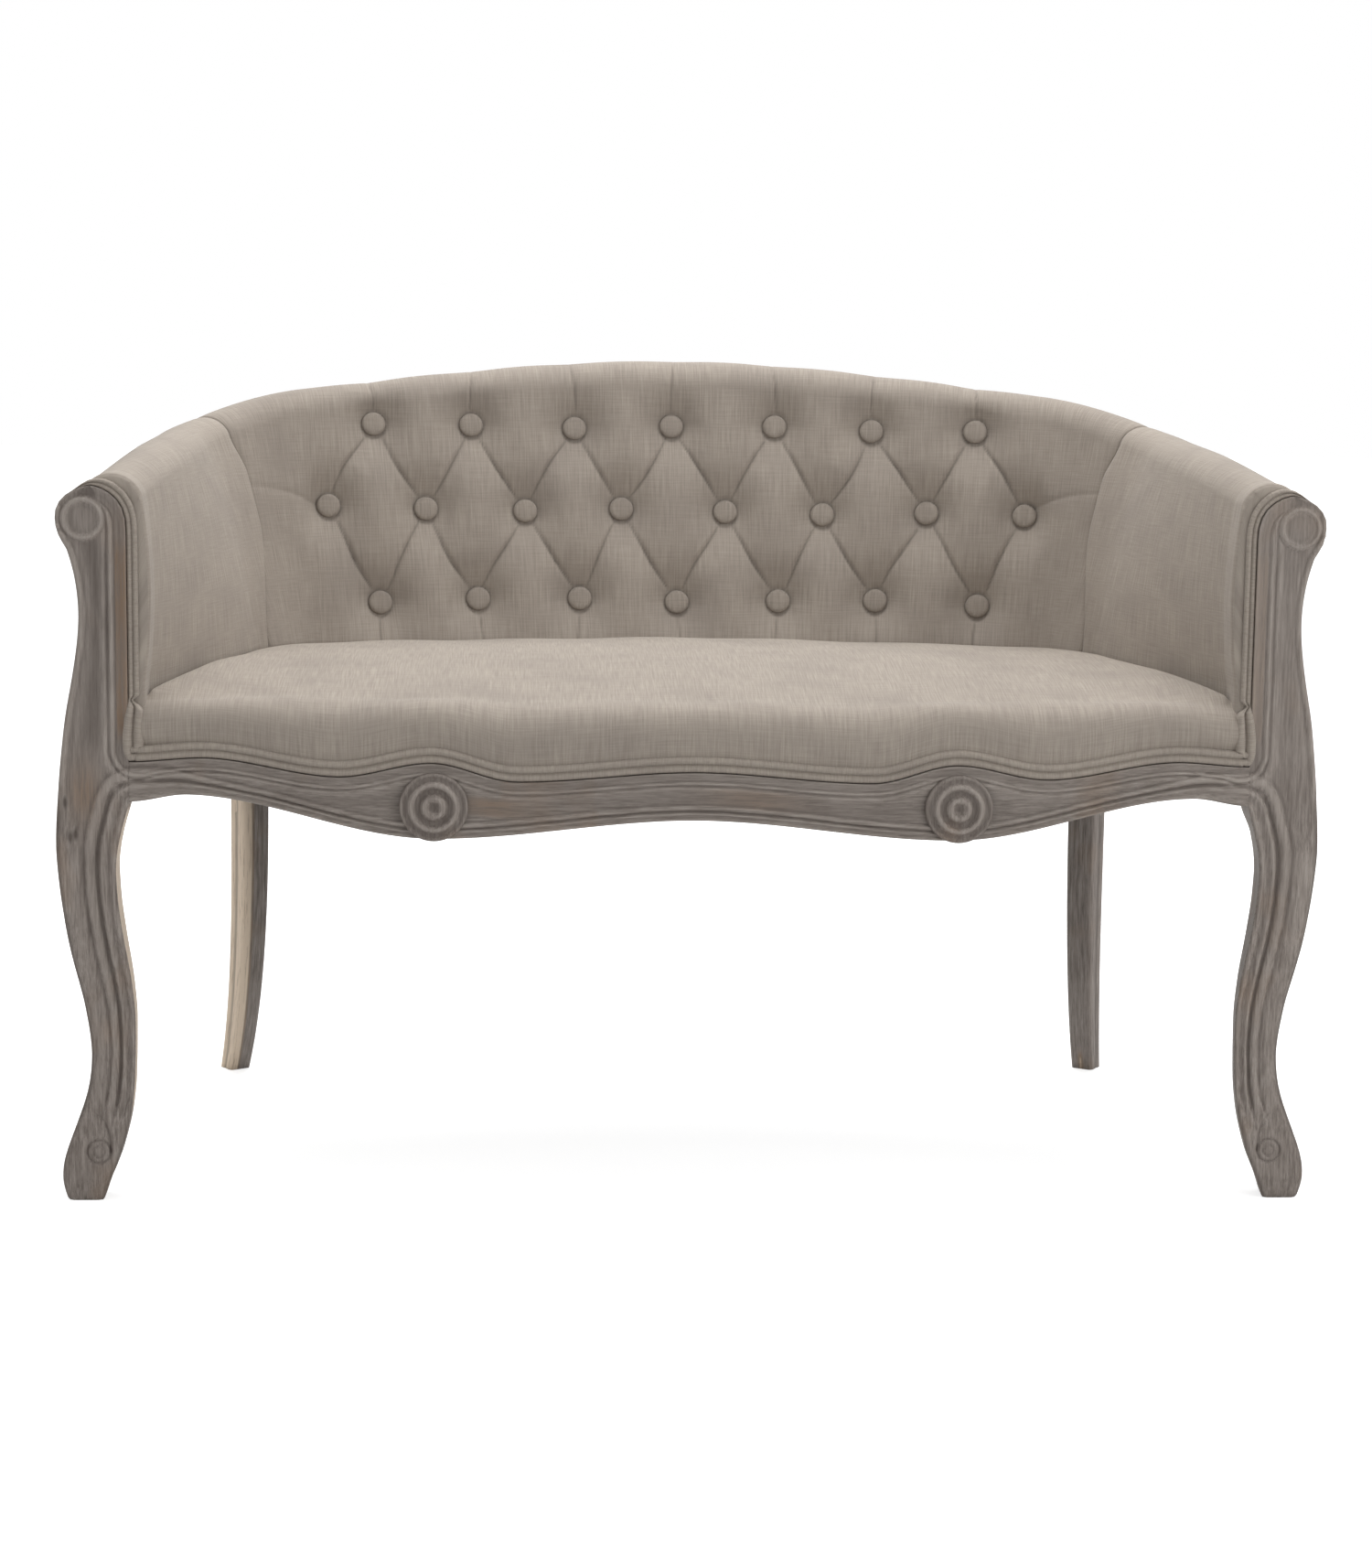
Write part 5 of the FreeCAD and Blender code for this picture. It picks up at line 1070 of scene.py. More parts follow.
        # Painted shade: pleats, the tufted face, side folds, wells, buttons' rims and the seam
        shades = (0.55 * ridge(nearest, 1.4) * fade * smooth(near, 12, 22), 0.1 * fade,
                  0.22 * side_fold, 0.16 * ridge(near, 30), 0.42 * ridge(near - 14.0, 1.0),
                  0.4 * np.exp(-to_seam / 1.5) * (z < 800))
        return sunk, 1 - np.maximum.reduce(shades)

    def shape(self, u: Array, v: Array) -> Values:
        """Surface of the pad: its face, its roll and its hidden back.

        Args:
            u: along the wall.
            v: round the pad, from its foot up the face.

        Returns:
            Coordinates and pattern values.
        """
        rise, t = part(v, 0, self.front_share), part(v, self.front_share, self.roll_share)
        w = part(v, self.roll_share, 1)
        on_roll, hidden = v > self.front_share, v > self.roll_share
        seam = WALL.seam_at(rise, t, w)
        s = (2 * u - 1) * (seam - JOIN_GAP)
        hip, top = WALL.hip(s), WALL.value(Profile.TOP, s)
        # The face, then the roll, where the tufts die away, then the hidden back
        z = toward(SIZE.pad_foot, hip, rise)
        sunk, shade = self.depth(s, z, seam)
        inside = WALL.face(s, z) - sunk
        radius, reach, middle = WALL.roll(s)
        angle = reach * (1 - 2 * t)
        run = hip + radius * reach * 2 * t
        dip, roll_shade = self.depth(s, run, seam)
        dip = dip * (1 - smooth(t, 0.3, 0.8))
        way = angle + (QUARTER - reach) * (1 - smooth(t, 0, 0.4))
        inside = np.where(on_roll, middle + radius * np.sin(angle) - dip * np.sin(way), inside)
        z = np.where(on_roll, top - radius + radius * np.cos(angle) - dip * np.cos(way), z)
        rest = toward(self.middle_inset, self.back_inset, smooth(np.abs(s), 392, 468))
        back, level = WALL.behind(s, w, self.back_knots, (rest, self.back_inset))
        inside, z = np.where(hidden, back, inside), np.where(hidden, level, z)
        x, y, z = WALL.place(s, inside, z)
        roll_shade = 1 - (1 - roll_shade) * (1 - smooth(t, 0.3, 0.7))
        return {"x": x, "y": y, "z": z, "across": s, "along": np.where(on_roll, run, z),
                "relief": np.where(on_roll, roll_shade, shade)}

    def build(self) -> bpy.types.Object:
        """Make the tufted cover and pad."""
        bm = surface(*self.faces, self.shape)
        piece = piece_of(bm, "tufted_back", self.finish)
        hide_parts("back_cover", "back_foam")
        return piece

    def build_buttons(self) -> bpy.types.Object:
        """Make the covered buttons, each turned about its own axis."""
        radius = SIZE.button_radius
        bm = bmesh.new()
        cloth = bm.verts.layers.float_vector.new(PATTERN)
        relief = bm.verts.layers.float.new(RELIEF)
        for number, (s, z) in enumerate(self.buttons()):
            at, height = np.array(s), np.array(z)
            inside = WALL.face(at, height) - SIZE.tuft_depth
            place = Vector([float(c) for c in WALL.place(at, inside, height)])
            _, _, nx, ny = (float(c) for c in WALL.at(at))
            slope = float((WALL.value(Profile.HIGH, at) - WALL.value(Profile.LOW, at))
                          / (WALL.hip(at) - SIZE.seat_line))
            way = Vector((-nx, -ny, -slope)).normalized()
            turn = way.to_track_quat("Z", "Y").to_matrix().to_4x4()
            seated = Matrix.Translation(place * MM) @ turn
            new = [bm.verts.new(seated @ Vector((r * radius * MM, 0, (h + 0.4) * MM)))
                   for r, h in self.button]
            edges = [bm.edges.new(pair) for pair in zip(new, new[1:])]
            bmesh.ops.spin(bm, geom=new + edges, cent=seated.translation, axis=way,
                           angle=math.tau, steps=self.button_steps, use_merge=True)
            back = seated.inverted()
            # The points made here are those that have no relief yet
            for vert in bm.verts:
                if vert[relief] == 0.0:
                    local = back @ vert.co
                    vert[cloth] = (local.x + number * 0.05, local.y, local.z)
                    rim = math.hypot(local.x, local.y) / (radius * MM)
                    # Painted shade: the button a little darker than the cloth round it, and darker
                    # still at its rim
                    vert[relief] = 0.84 if rim < 0.97 else 0.62
        bmesh.ops.remove_doubles(bm, verts=bm.verts, dist=1e-6)
        bmesh.ops.recalc_face_normals(bm, faces=bm.faces)
        piece = piece_of(bm, "tufting_buttons_covered", self.finish)
        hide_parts("tufting_buttons")
        return piece


@dataclass
class SeatPad:
    """Crowned seat over the webbing, its front along the serpentine welt."""

    finish: bpy.types.Material
    faces: tuple[int, int] = (260, 150)
    end_x: float = 541
    corner_x: float = 480
    crown: float = 528
    fall: float = 9
    front_edge: float = 502
    front_depth: float = 36
    corner_depth: float = 15
    back_depth: float = 13
    corner_fall: float = 12.5
    bulge: float = 5
    hem_gap: float = 3
    under_steps: int = 20

    def back_y(self, x: float) -> float:
        """Back edge of the seat at x, before the pads."""
        s = np.array(WALL.inner_s(abs(x)))
        return float(WALL.place(s, WALL.value(Profile.LOW, s) + SEAT_GAP, 0.0)[1])

    def section(self, x: float) -> Array:
        """Closed line of the seat in a plane of one x.

        Args:
            x: place across the seat.

        Returns:
            (y, z) points from the front hem over the top to the back hem and back.
        """
        back, front = self.back_y(x), float(rail_front(x)) + SIZE.pad_inset
        top = self.crown - self.fall * (x / SIZE.joint_x) ** 2
        beyond = max(0.0, (abs(x) - self.corner_x) / (self.end_x - self.corner_x))
        top -= self.corner_fall * beyond ** 1.8
        edge = min(self.front_edge, top - 2)
        most = (back - front) * 0.4
        corner = float(smooth(np.array(abs(x)), 420.0, 535.0))
        fore = front + min(toward(self.front_depth, self.corner_depth, corner), most)
        aft = back - min(self.back_depth, most)
        brink = float(level_curve(APRON_TOP, np.array(x)))
        welt_top = brink + 4 * SIZE.welt_cord + 0.9
        hem, rear = brink + self.hem_gap, top - 3
        level = (edge + rear) / 2
        swell = level + min(top + 1 - level, 0.3 * (aft - fore))
        rim = rear - self.back_depth
        points = [(front, hem)]
        points += arc_through((front, welt_top), (front - 1 - self.bulge, (welt_top + edge) / 2),
                              (fore, edge), 30)
        points += arc_through((fore, edge), ((fore + aft) / 2, swell), (aft, rear), 60)
        points += arc_through((aft, rear), (back - (back - aft) * 0.25, rear - 4), (back, rim), 20)
        points += [(back, rim), (back, hem)]
        over = resampled(points, self.faces[1] - self.under_steps + 1, 14)
        under = np.stack([np.linspace(back, front, self.under_steps + 1)[1:],
                          np.full(self.under_steps, hem)], axis=1)
        return np.vstack([over, under])

    def shape(self, u: Array, v: Array) -> Values:
        """Surface of the seat from its sections, closer together towards the arms.

        Args:
            u: from left to right.
            v: round a section.

        Returns:
            Coordinates and pattern values.
        """
        count, around = self.faces
        spread = QUARTER * 0.93
        stations = np.sin(np.linspace(-1, 1, count + 1) * spread) / math.sin(spread) * self.end_x
        lines = np.array([self.section(float(x)) for x in stations])
        i, j = np.rint(u * count).astype(int), np.rint(v * around).astype(int)
        x, y, z = stations[i], lines[i, j, 0], lines[i, j, 1]
        steps = np.cumsum(np.hypot(*np.diff(lines, axis=1, prepend=lines[:, :1]).transpose(2, 0, 1)),
                          axis=1)
        soft = 0.9 * np.sin(x / 61 + 1.3) * np.sin(y / 47) + 0.6 * np.sin(x / 23 + y / 37)
        z = z + soft * (z > 500) * np.clip((self.end_x - np.abs(x)) / 60, 0, 1)
        return {"x": x, "y": y, "z": z, "across": x, "along": steps[i, j]}

    def build(self) -> bpy.types.Object:
        """Make the seat."""
        bm = surface(*self.faces, self.shape)
        piece = piece_of(bm, "seat_pad", self.finish)
        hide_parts("seat_cover", "seat_foam")
        return piece


@dataclass
class ArmPad:
    """Plain inside arm with its roll, from the corner seam to the post's face."""

    finish: bpy.types.Material
    side: Side
    faces: tuple[int, int] = (150, 150)
    belly: float = 7
    seam_dip: float = 3.5
    front_share: float = 0.62
    roll_share: float = 0.86
    back_knots: tuple[float, float, float, float] = (0, 0.5, 0.85, 1)
    post_inset: float = 43.4
    back_inset: float = 31.0
    rounding: float = 6.5
    post_gap: float = 0.4
    post_cover: float = 0.5

    def shape(self, u: Array, v: Array) -> Values:
        """Surface of the right arm's pad.

        Args:
            u: from the corner seam to the front.
            v: round the pad, from its foot up the face.

        Returns:
            Coordinates and pattern values.
        """
        up, t = part(v, 0, self.front_share), part(v, self.front_share, self.roll_share)
        w = part(v, self.roll_share, 1)
        on_roll, hidden = v > self.front_share, v > self.roll_share
        first = WALL.seam_at(up, t, w) + JOIN_GAP
        front = SIZE.leg_front_y + SIZE.pad_inset
        over_front = SIZE.post_back_y - front
        q = toward(first, WALL.total + over_front, u)
        s, past = np.minimum(q, WALL.total), np.maximum(q - WALL.total, 0)
        x0, y0, nx, ny = WALL.at(s)
        turn = smooth(q, WALL.total - 60, WALL.total)
        nx, ny = nx + (1 - nx) * turn, ny * (1 - turn)
        y0 = y0 - past
        hip, top = WALL.hip(s), WALL.value(Profile.TOP, s)
        z = toward(SIZE.pad_foot, hip, up)
        rise = part(z, SIZE.seat_line, hip)
        seam = self.seam_dip * np.exp(-(q - first) / 6)
        inside = WALL.face(s, z) + self.belly * 4 * rise * (1 - rise) - seam
        radius, reach, middle = WALL.roll(s)
        angle, ring = reach * (1 - 2 * t), radius - seam
        inside = np.where(on_roll, middle + ring * np.sin(angle), inside)
        z = np.where(on_roll, top - radius + ring * np.cos(angle), z)
        rest = np.interp(y0, (SIZE.post_back_y - 5, SIZE.post_back_y + 40),
                         (self.post_inset, self.back_inset))
        back, level = WALL.behind(s, w, self.back_knots, (rest, rest))
        inside, z = np.where(hidden, back, inside), np.where(hidden, level, z)
        x, y = x0 - inside * nx, y0 - inside * ny
        x, z = self.over_post(x, y, z)
        # The front end is rounded
        end = np.clip((past - over_front + self.rounding) / self.rounding, 0, 1)
        pull = self.rounding * 0.8 * (1 - np.sqrt(1 - 0.98 * end ** 2))
        x = x + np.where(x < SIZE.joint_x - 4, pull * 0.6, 0)
        z = np.where(on_roll & ~hidden, np.maximum(z - pull, post_top(x) + self.post_cover), z)
        return {"x": x, "y": y, "z": z, "across": q, "along": z + np.where(on_roll, 40 * t, 0)}

    def over_post(self, x: Array, y: Array, z: Array) -> tuple[Array, Array]:
        """Lay what would be in the post on the post.

        Args:
            x: places across.
            y: places in depth.
            z: heights.

        Returns:
            Corrected x and z.
        """
        at_post, inner = y < SIZE.post_back_y + 1, SIZE.joint_x - self.post_gap
        x = np.where(at_post & (x > inner) & (z < 660), inner, x)
        above = at_post & (x >= SIZE.joint_x)
        z = np.where(above, np.maximum(z, post_top(x) + self.post_cover), z)
        return x, z

    def build(self) -> bpy.types.Object:
        """Make the arm's pad."""
        bm = mirrored(surface(*self.faces, self.shape), self.side)
        piece = piece_of(bm, "arm_pad_" + self.side.word, self.finish)
        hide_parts("arm_cover_" + self.side.word, "arm_foam_" + self.side.word)
        return piece


# Carved wood

# Edges of the front leg as (height, x), then its front and back as (height, y)
LEG_OUTER = ((0, 619), (4, 622), (22, 625.5), (41, 624), (59, 617), (78, 610), (97, 603),
             (115, 597.5), (134, 595.5), (152, 595), (171, 597), (189, 600), (208, 603),
             (226, 608), (245, 612), (263, 616), (281, 618), (300, 621), (318, 623),
             (336, 624.5), (354, 626), (373, 625.5), (391, 625), (409, 623), (427, 622),
             (445, 620), (463, 618), (481, 616), (499, 613), (517, 609), (535, 606),
             (553, 603), (571, 601), (588, 600), (606, 601.2), (624, 603.5), (640, 607.3),
             (650, 611))
LEG_INNER = ((0, 584), (22, 577), (41, 568), (59, 563), (78, 558), (97, 555), (115, 553),
             (148, 552), (189, 551.5), (226, 555), (263, 561), (300, 566), (336, 568),
             (354, 566), (373, 562), (391, 557), (403, 554))
LEG_FRONT = ((0, -278), (22, -281), (60, -279), (100, -273), (148, -268), (200, -271),
             (280, -281), (356, -284), (403, -281))
LEG_BACK = ((0, -241), (148, -238), (385, -235))


@dataclass(frozen=True)
class Mouldings:
    """Depths of the carved lines, in mm under the face, by distance from the edges."""

    lower: Line = (
        (0, 3.0), (1.2, 1.2), (3.2, 0.5), (5.0, 1.3), (7.5, 2.6), (10, 2.5), (12.2, 1.4),
        (13.8, 0.5), (15.6, 0.5), (17.2, 1.7), (18.8, 4.0), (20.6, 4.0), (22.4, 1.9),
        (25.5, 0.5), (29, 0.3), (32, 1.0), (33.6, 2.9), (35, 3.1), (37.5, 2.4))
    upper: Line = (
        (0, 1.0), (1.4, 1.6), (3, 2.6), (7, 3.2), (10.5, 2.8), (12, 3.6), (13.2, 1.6),
        (14.6, 0.6), (16.4, 0.7), (17.8, 2.8), (19.2, 3.2), (20.6, 1.6), (23, 0.8),
        (26, 1.6), (30, 2.4))
    outer: Line = (
        (0, 3.4), (1.0, 1.4), (3.2, 0.3), (5.0, 0.8), (6.8, 2.9), (8.6, 2.6), (12, 2.4))
    field_depth: float = 2.4

    def depth(self, low: Array, high: Array, out: Array, post: Array) -> Array:
        """Depth of the carving.

        Args:
            low: distance from the inner edge of the leg and the apron's lower edge.
            high: distance from the edge beside the upholstery.
            out: distance from the outer edge.
            post: 1 where the outer edge has its bead, 0 where it is only rounded.

        Returns:
            Depth under the face in mm.
        """
        total = self.field_depth
        for line, at, share in ((self.lower, low, 1), (self.upper, high, 1),
                                (self.outer, out, post)):
            total = total + (looked_up(line, at) - self.field_depth) * share
        return total + 2.6 * smooth(out, 7, 0) ** 2 * (1 - post)

    @staticmethod
    def shade(carved: Array) -> Array:
        """Relief for the finish, 0 in the deepest groove."""
        return np.clip(1 - (carved - 0.2) / 4.2, 0, 1)

    @staticmethod
    def spread(x: Array) -> Array:
        """How much closer than on the leg the lower lines run on the apron at x."""
        return 2.2 - 1.2 * smooth(np.abs(x), 430, 554)


MOULDINGS = Mouldings()


def leg_line(stations: Line, upper: Line) -> tuple[Array, Array]:
    """One edge of the leg, rounded between its stations.

    Args:
        stations: (height, x) up to the post's top.
        upper: (x, height) of the post's top, upwards.

    Returns:
        Heights, rising, and x at them.
    """
    line = np.vstack([resampled(stations, 180, 24), [(z, x) for x, z in upper]])
    return line[:, 0], line[:, 1]


INNER_LINE = leg_line(LEG_INNER, SHOULDER)
OUTER_LINE = leg_line(LEG_OUTER, DOME[::-1])


def lower_edge() -> Array:
    """Line of the lower carving: along the apron and down the leg's inner edge."""
    xs = np.linspace(0, 548, 110)
    apron = np.stack([xs, level_curve(APRON_LOW, xs)], axis=1)
    zs, inner = INNER_LINE
    leg = [(x, z) for z, x in zip(zs[::-1], inner[::-1]) if z < 397]
    return np.vstack([apron, [(553, 401.5)], leg, [(584, -40)]])


def upper_edge() -> Array:
    """Line of the upper carving: under the seat's welt, up the post and over its shoulder."""
    xs = np.linspace(0, 538, 110)
    top = np.stack([xs, level_curve(APRON_TOP, xs)], axis=1)
    post = [(546, 444), (551.5, 447), (554, 453), (554, 600), (554, 660)]
    return np.vstack([top, post, SHOULDER, DOME[:6]])


LOWER_EDGE, UPPER_EDGE = lower_edge(), upper_edge()
OUTER_EDGE = np.array([(x, z) for z, x in zip(*OUTER_LINE) if z < 690])


@dataclass
class FrontLeg:
    """Cabriole leg in one piece with the arm post, its scroll, mouldings and foot volute."""

    finish: bpy.types.Material
    side: Side
    faces: tuple[int, int] = (430, 112)
    front_share: float = 0.66
    dome_z: float = 672
    dome_share: float = 0.08
    scroll: Line = (
        (0, 0.9), (9, 1.2), (13, 1.7), (15, 2.3), (16.4, 0.6), (18.2, -0.9), (20.2, 0.2),
        (21.6, 2.6), (23, 2.6))
    volute: Pair = (588, 50)
    # Rings of the foot's volute as (radius, depth, width), and the line that curls into it
    rings: tuple[tuple[float, float, float], ...] = ((11.5, 1.7, 1.3), (5.5, 1.2, 1.1))
    curl: Line = (
        (609, 97), (603, 95.5), (596, 93), (589, 88), (583, 80.5), (579, 71), (576.8, 60),
        (576.5, 50))
    right_taper: float = 3.6
    left_taper: float = 0.6
    back_edge: float = 3.0
    # Where, round the hidden part, the outer side ends, its edge, the back and its other edge
    stations: tuple[float, float, float, float] = (0.34, 0.42, 0.6, 0.68)
    dowel: Pair = (566.7, 415)
    knots: Line = ((616, 402), (611, 368), (606, 371))

    def carving(self, x: Array, z: Array, inner: Array, outer: Array) -> Array:
        """Depth of the carving on the leg's front.

        Args:
            x: places across.
            z: heights.
            inner: the leg's inner edge there.
            outer: its outer edge there.

        Returns:
            Depths under the face in mm.
        """
        low, high, out = (distance_to(edge, x, z) for edge in (LOWER_EDGE, UPPER_EDGE, OUTER_EDGE))
        width = outer - inner
        carved = MOULDINGS.depth(low / np.clip(width / 62, 0.72, 1), high, out,
                                 smooth(z, 385, 430))
        # The post's field is hollow, and the knee swells
        for middle, depth, share in ((0.56, 1.6, smooth(z, 430, 480)),
                                     (0.78, -1.8, smooth(z, 385, 330))):
            away = np.abs(x - inner - width * middle) / (width * 0.24)
            carved += depth * np.clip(1 - away ** 2, 0, 1) * share
        ring = np.hypot(x - self.volute[0], z - self.volute[1])
        lines = 1.7 * ridge(distance_to(self.curl, x, z), 1.2)
        for radius, depth, wide in self.rings:
            lines = lines + depth * ridge(ring - radius, wide)
        plain = 1.4 + 2.0 * smooth(out, 5, 0) + 2.0 * smooth(low, 5, 0) + lines
        carved = toward(carved, plain, smooth(z, 105, 70))
        r = np.hypot(x - SIZE.scroll_x, z - SIZE.scroll_z)
        carved = toward(carved, looked_up(self.scroll, r), smooth(r, 24.0, 21.5))
        # The rail's dowel ends close behind the face: the groove stays shallow over it
        return np.minimum(carved, 2.3 + 0.3 * np.hypot(x - self.dowel[0], z - self.dowel[1]))

    def shape(self, u: Array, v: Array) -> Values:
        """Surface of the right leg.

        Args:
            u: up the leg.
            v: round the leg, from the inner edge over the front.

        Returns:
            Coordinates and pattern values.
        """
        below = 1 - self.dome_share
        dome = np.sin(part(u, below, 1) * QUARTER) * 0.9995
        z = np.where(u < below, u / below * self.dome_z, toward(self.dome_z, SIZE.crest, dome))
        inner, outer = np.interp(z, *INNER_LINE), np.interp(z, *OUTER_LINE)
        x = toward(inner, outer, part(v, 0, self.front_share))
        carved = self.carving(x, z, inner, outer)
        face, back = looked_up(LEG_FRONT, z), looked_up(LEG_BACK, z)
        y = face + np.maximum(carved, -2.5)
        # Behind the carved face: down the outer side, round to the back and up the inner side
        hidden = v > self.front_share
        w = part(v, self.front_share, 1)
        side_x, side_y = self.sides(w, z, (inner, outer), (face, back), carved)
        x, y = np.where(hidden, side_x, x), np.where(hidden, side_y, y)
        shade = MOULDINGS.shade(carved)
        if self.side is Side.RIGHT:
            shade = toward(shade, 0.72, 0.5 * smooth(z, 430, 470))
        # The sole's edge is eased
        sole = np.clip(1 - z / 2.5, 0, 1) * 1.2
        x = x + np.where(x > (inner + outer) / 2, -sole, sole)
        y = np.where(y < (face + back) / 2, y + sole, y - sole)
        shade = shade - 0.3 * smooth(np.hypot(x - SIZE.scroll_x, z - SIZE.scroll_z), 15, 12)
        stain = self.stain(x, z, inner)
        if self.side is Side.LEFT:
            # Painted highlight: the left leg's inner side, which faces the light, is painted pale
            # with the lime colour
            bare = 0.875 * LIME * smooth(z, 410, 385) * smooth(z, 60, 110)
            stain = np.where(hidden & (w > self.stations[3]) & (w < 0.999), bare, stain)
        return {"x": x, "y": y, "z": z, "relief": np.where(hidden, 0.85, shade),
                "stain": stain}

    def sides(self, w: Array, z: Array, edges: tuple[Array, Array], depths: tuple[Array, Array],
              carved: Array) -> tuple[Array, Array]:
        """Outline behind the carved face.

        Args:
            w: round the hidden part, 0 to 1.
            z: heights.
            edges: the leg's inner and outer edge.
            depths: y of its face and of its back.
            carved: depth of the carving.

        Returns:
            x and y.
        """
        (inner, outer), (face, back) = edges, depths
        side, turned, across, last = self.stations
        soft = self.back_edge
        first, second = part(w, side, turned) * QUARTER, part(w, across, last) * QUARTER
        # Under the rail the leg narrows towards its back, on its inner side
        taper = self.left_taper if self.side is Side.LEFT else self.right_taper
        taper = taper * smooth(z, 398, 370) * np.interp(w, (last, 1), (1, 0))
        x = toward(outer - soft + soft * np.cos(first),
                   inner + taper + soft - soft * np.sin(second), part(w, turned, across))
        outer_rim, inner_rim, deep = face + np.maximum(carved, 3.6) + 0.2, face + 3.6, back - soft
        y = np.where(w < side, toward(outer_rim, deep, w / side), deep + soft * np.sin(first))
        y = np.where(w > across, deep + soft * np.cos(second), y)
        return x, np.where(w > last, toward(deep, inner_rim, (w - last) / (1 - last)), y)

    def stain(self, x: Array, z: Array, inner: Array) -> Array:
        """Where the wood shows tan, or a knot, as on the photographed sofa.

        Args:
            x: places across.
            z: heights.
            inner: the leg's inner edge there.

        Returns:
            Stain values.
        """
        cove = smooth(x - inner, 12, 10) * smooth(z, 455, 480) * smooth(z, 668, 640)
        if self.side is Side.RIGHT:
            return 0.35 * TAN * cove
        tan = TAN * np.maximum(cove, 0.9 * ridge(np.hypot((x - 598) / 13, (z - 412) / 26), 1))
        dark = sum(ridge(np.hypot((x - a) / 2.2, (z - b) / 6), 1) for a, b in self.knots)
        return np.where(dark > 0.15, -np.clip(dark, 0, 1), tan)

    def build(self) -> bpy.types.Object:
        """Make the leg."""
        bm = mirrored(surface(*self.faces, self.shape), self.side)
        piece = piece_of(bm, "cabriole_leg_" + self.side.word, self.finish)
        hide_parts("front_leg_" + self.side.word)
        return piece


@dataclass
class RearLeg:
    """Square sabre leg with eased edges that runs up inside the back as its post."""

    finish: bpy.types.Material
    side: Side
    faces: tuple[int, int] = (150, 48)
    half: float = 16.5
    foot_half: float = 13.2
    edge: float = 4.6
    edge_share: float = 0.34
    groove: float = 1.4
    knee: float = 385
    foot: Pair = (501.5, 292.0)
    proud: float = 2.0
    post_inset: float = 4.2

    def shape(self, u: Array, v: Array) -> Values:
        """Surface of the right leg.

        Args:
            u: from the floor to the top.
            v: round the leg.

        Returns:
            Coordinates and pattern values.
        """
        top = float(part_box("rear_leg_right")[1].z) / MM - 0.2
        count, around = self.faces
        low = np.linspace(0, SIZE.rail_top, count - 3)
        levels = np.r_[low, SIZE.rail_top + 0.5, SIZE.rail_top + 60, top - 1, top]
        i, j = np.rint(u * count).astype(int), np.rint(v * around).astype(int) % around
        z = levels[i]
        half = toward(self.half, self.foot_half, (1 - part(z, 0, 330)) ** 1.8)
        quarter = around // 4
        side, step = j // quarter, (j % quarter) / quarter
        # Each quarter runs over one rounded edge and then along one flat face
        angle, flat = part(step, 0, self.edge_share) * QUARTER, part(step, self.edge_share, 1)
        room = half - self.edge
        a = np.where(flat > 0, room - 2 * room * flat, room + self.edge * np.cos(angle))
        b = np.where(flat > 0, half, room + self.edge * np.sin(angle))
        groove = self.groove * ridge(a - 1.5, 1.6) * (side % 2 == 0) * (flat > 0)
        b = b - groove * (z < SIZE.rail_top - 40)
        for _ in range(3):
            turn = side > 0
            a, b, side = np.where(turn, -b, a), np.where(turn, a, b), side - turn
        base_x, base_y, out_x, out_y = (float(c) for c in WALL.at(np.array(WALL.rear)))
        share = (1 - part(z, 0, self.knee)) ** 3
        rest = self.proud - self.half
        mid_x = toward(base_x + rest * out_x, self.foot[0], share)
        mid_y = toward(base_y + rest * out_y, self.foot[1], share)
        if self.side is Side.LEFT:
            # The left leg kept its lime on the outer side and round its front edge
            stain = smooth(b, 0.15 * half, 0.55 * half) * smooth(z, 432, 385)
        else:
            # The right leg is bare at its toe
            stain = 0.72 * ridge(b, 3) * smooth(z, 34, 12) * (a < 0)
        inside = (z > SIZE.rail_top + 0.2) & (a > 0)
        a = np.where(inside, np.minimum(a, -self.post_inset - rest), a)
        across, along = a * out_x + b * out_y, a * out_y - b * out_x
        return {"x": mid_x + across, "y": mid_y + along, "z": z, "across": across,
                "along": along, "relief": np.where(groove > 0.5, 0.25, 0.75),
                "stain": LIME * stain}

    def build(self) -> bpy.types.Object:
        """Make the leg."""
        bm = mirrored(surface(*self.faces, self.shape), self.side)
        piece = piece_of(bm, "sabre_leg_" + self.side.word, self.finish)
        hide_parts("rear_leg_" + self.side.word)
        return piece


